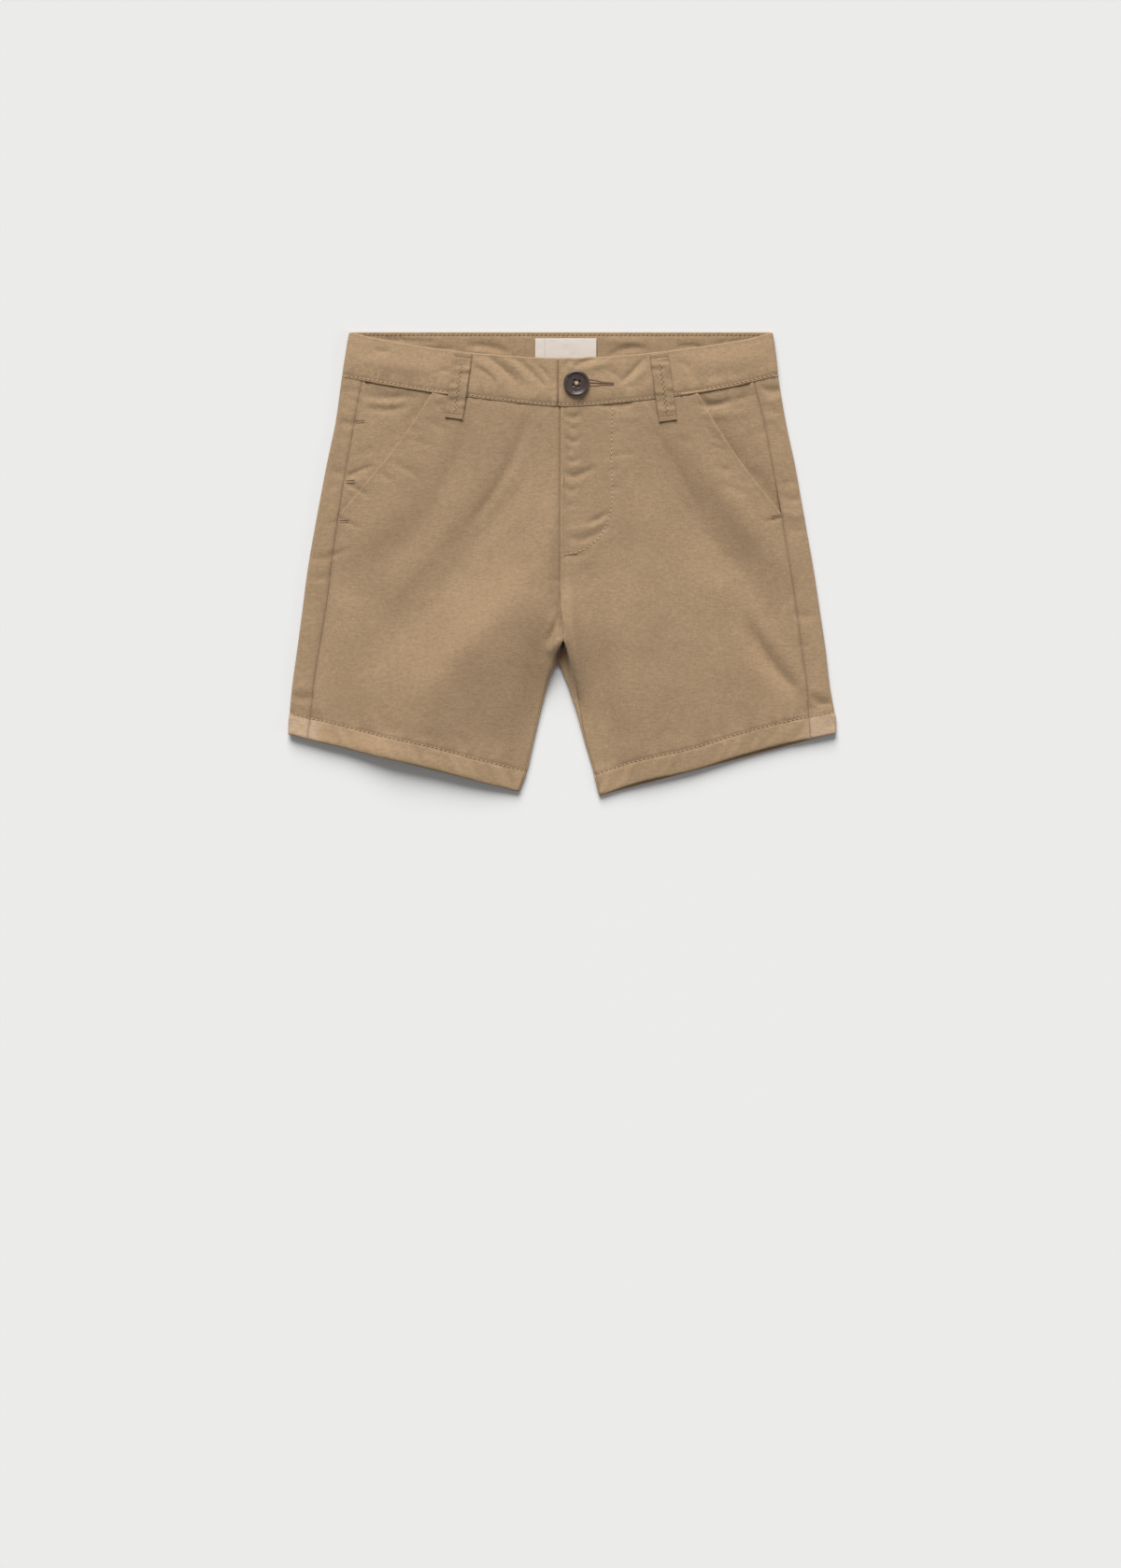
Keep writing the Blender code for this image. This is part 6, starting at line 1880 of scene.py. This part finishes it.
def sewn_loops(sewing):
    """Both belt loops and the strokes of their stitches: two lines down, and one at each end."""
    made, strokes = {}, []
    for name in BELT_LOOPS:
        made[name], outer, normals = belt_loop(name, twill(f"twill {name}", BAND_TURN))
        down = from_border(outer, "top")
        middle = outer.shape[1] // 2
        span = slice(int(0.16 * outer.shape[0]), int(0.88 * outer.shape[0]))
        for line, start in ((middle - 1, 0), (middle + 1, 3)):
            path, ups = outer[span, line][start:], normals[span, line][start:]
            strokes += stitched(path, ups, LOOP_STITCH)
            sewing.holes += painted_shade_pits(path, ups, LOOP_PAINTED_PIT)
        for end in (LOOP_STITCHED, down.max() - LOOP_STITCHED):
            path, ups = line_in(outer, normals, down, end)
            strokes += stitched(path[3:-3], ups[3:-3], LOOP_END_STITCH)
    return made, strokes


def dress(piece, slot, *nodes):
    """Rides on the frame and stands for the solids. The slot, the record's finish, is not used."""
    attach(piece, "root")
    if nodes:
        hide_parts(*nodes)


def main():
    sewing = Sewing()
    pieces = {}
    for side in SIDES:
        pieces.update(leg_pieces(side, sewing))
    pieces["waistband"], inside = sewn_waistband(sewing)
    made, tacks = fly_and_tacks(sewing)
    pieces.update(made)
    made, loops = sewn_loops(sewing)
    pieces.update(made)
    pieces["stitches_loops"] = sewing.mesh("stitches_loops", loops, "seams")
    pieces["stitches_tacks"] = sewing.mesh("stitches_tacks", tacks, "tacks")
    # the dark strands painted as shade in the needle holes and the buttonhole's slit
    pieces["stitches_holes"] = sewing.mesh("stitches_holes", sewing.holes, "holes")
    for name, strokes in sewing.lines.items():
        pieces[f"stitches_{name}"] = sewing.mesh(f"stitches_{name}", strokes, "seams")
    disc, sewn = button(button_plastic(), sewing.threads["fly"])
    tag = label(label_weave(), inside[..., 2])

    for key, piece in pieces.items():
        if key.startswith("stitches"):
            dress(piece, CLOTH_SLOT)
    for side in SIDES:
        dress(pieces[f"front_{side.name}"], CLOTH_SLOT, f"front_{side.name}")
        dress(pieces[f"back_{side.name}"], CLOTH_SLOT, f"back_{side.name}")
        dress(pieces[f"facing_{side.name}"], CLOTH_SLOT, f"pocket_facing_{side.name}")
    dress(pieces["waistband"], CLOTH_SLOT, "waistband")
    for name in BELT_LOOPS:
        dress(pieces[name], CLOTH_SLOT, name)
    dress(disc, "button", "button")
    dress(sewn, "button")
    dress(tag, "label", "label")
    declare(pieces)


# The cloth that shows, in metres: what each piece lies on, and the sewing on it
Cut = namedtuple("Cut", "piece width length area rests_on sewing")
CUTS = [
    Cut("front_right", 0.158, 0.234, 0.0276, ["back_right"], ["stitches_front_right"]),
    Cut("front_left", 0.148, 0.237, 0.0267, ["back_left"], ["stitches_front_left"]),
    Cut("back_right", 0.182, 0.246, 0.0356, [], ["stitches_back_right"]),
    Cut("back_left", 0.184, 0.248, 0.0364, [], ["stitches_back_left"]),
    Cut("facing_right", 0.067, 0.086, 0.0028, ["back_right"], []),
    Cut("facing_left", 0.061, 0.084, 0.0025, ["back_left"], []),
    Cut("waistband", 0.532, 0.0285, None, [], ["stitches_waistband"]),
    Cut("belt_loop_right", 0.0108, 0.0418, None, ["waistband", "front_right"], ["stitches_loops"]),
    Cut("belt_loop_left", 0.0108, 0.0430, None, ["waistband", "front_left"], []),
]


def declare(pieces):
    """Looks up, for every cut of cloth, the pieces that it lies on and its sewing.
    Every cloth piece is a sheet, cut to the size that shows.
    """
    for cut in CUTS:
        [pieces[name] for name in cut.rests_on]
        [pieces[name] for name in cut.sewing]


# ---------------------------------------------------------------- stage, light and camera

FLOOR_DARK = (0.80, 0.80, 0.795)
FLOOR_LIGHT = (0.81, 0.81, 0.805)
FLOOR_HALF = 12.0
FLOOR_DROP = 0.0004     # so that the cloth's underside doesn't lie in the floor's plane


def stage():
    n = Nodes("pale floor")
    speck = n.noise(n.place(), 2.0, 2.0)
    colour = n.mix(speck, FLOOR_DARK, FLOOR_LIGHT)
    material = n.finish(colour, 0.9, Specular_IOR_Level=0.0)
    half = FLOOR_HALF
    mesh = bpy.data.meshes.new("floor")
    mesh.from_pydata([(-half, -half, 0), (half, -half, 0), (half, half, 0), (-half, half, 0)], [],
                     [(0, 1, 2, 3)])
    mesh.materials.append(material)
    floor = bpy.data.objects.new("floor", mesh)
    floor.location.z = -FLOOR_DROP
    bpy.context.scene.collection.objects.link(floor)


Sun = namedtuple("Sun", "name strength spread turn rise")
SUNS = [                # turn is where the light comes from, round from +X
    Sun("key", 4.0, 42.0, 97.0, 37.0),
    Sun("side", 0.2, 12.0, -18.0, 26.0),
]
ROOM_STRENGTH = 0.24


def light():
    """Wide soft light from above the waist and a little from the wearer's right, in a pale room."""
    for sun in SUNS:
        source = bpy.data.lights.new(sun.name, "SUN")
        source.energy = sun.strength
        source.angle = math.radians(sun.spread)
        lamp = bpy.data.objects.new(sun.name, source)
        lamp.rotation_euler = (math.radians(90 - sun.rise), 0.0, math.radians(sun.turn + 90))
        bpy.context.scene.collection.objects.link(lamp)
    world = bpy.data.worlds.new("room")
    world.use_nodes = True
    world.node_tree.nodes["Background"].inputs["Color"].default_value = (1.0, 1.0, 1.0, 1.0)
    world.node_tree.nodes["Background"].inputs["Strength"].default_value = ROOM_STRENGTH
    bpy.context.scene.world = world
    bpy.context.scene.view_settings.view_transform = "Standard"


CAMERA_PLACE = (-0.0011, -0.1295, 2.2)
CAMERA_LENS = 85.77     # the photo's frame is 923.5 mm high on the surface


def camera():
    lens = bpy.data.cameras.new("camera")
    lens.sensor_width = 36.0
    lens.lens = CAMERA_LENS
    lens.clip_end = 50.0
    eye = bpy.data.objects.new("camera", lens)
    eye.location = CAMERA_PLACE
    bpy.context.scene.collection.objects.link(eye)
    bpy.context.scene.camera = eye


camera()
light()
stage()
main()
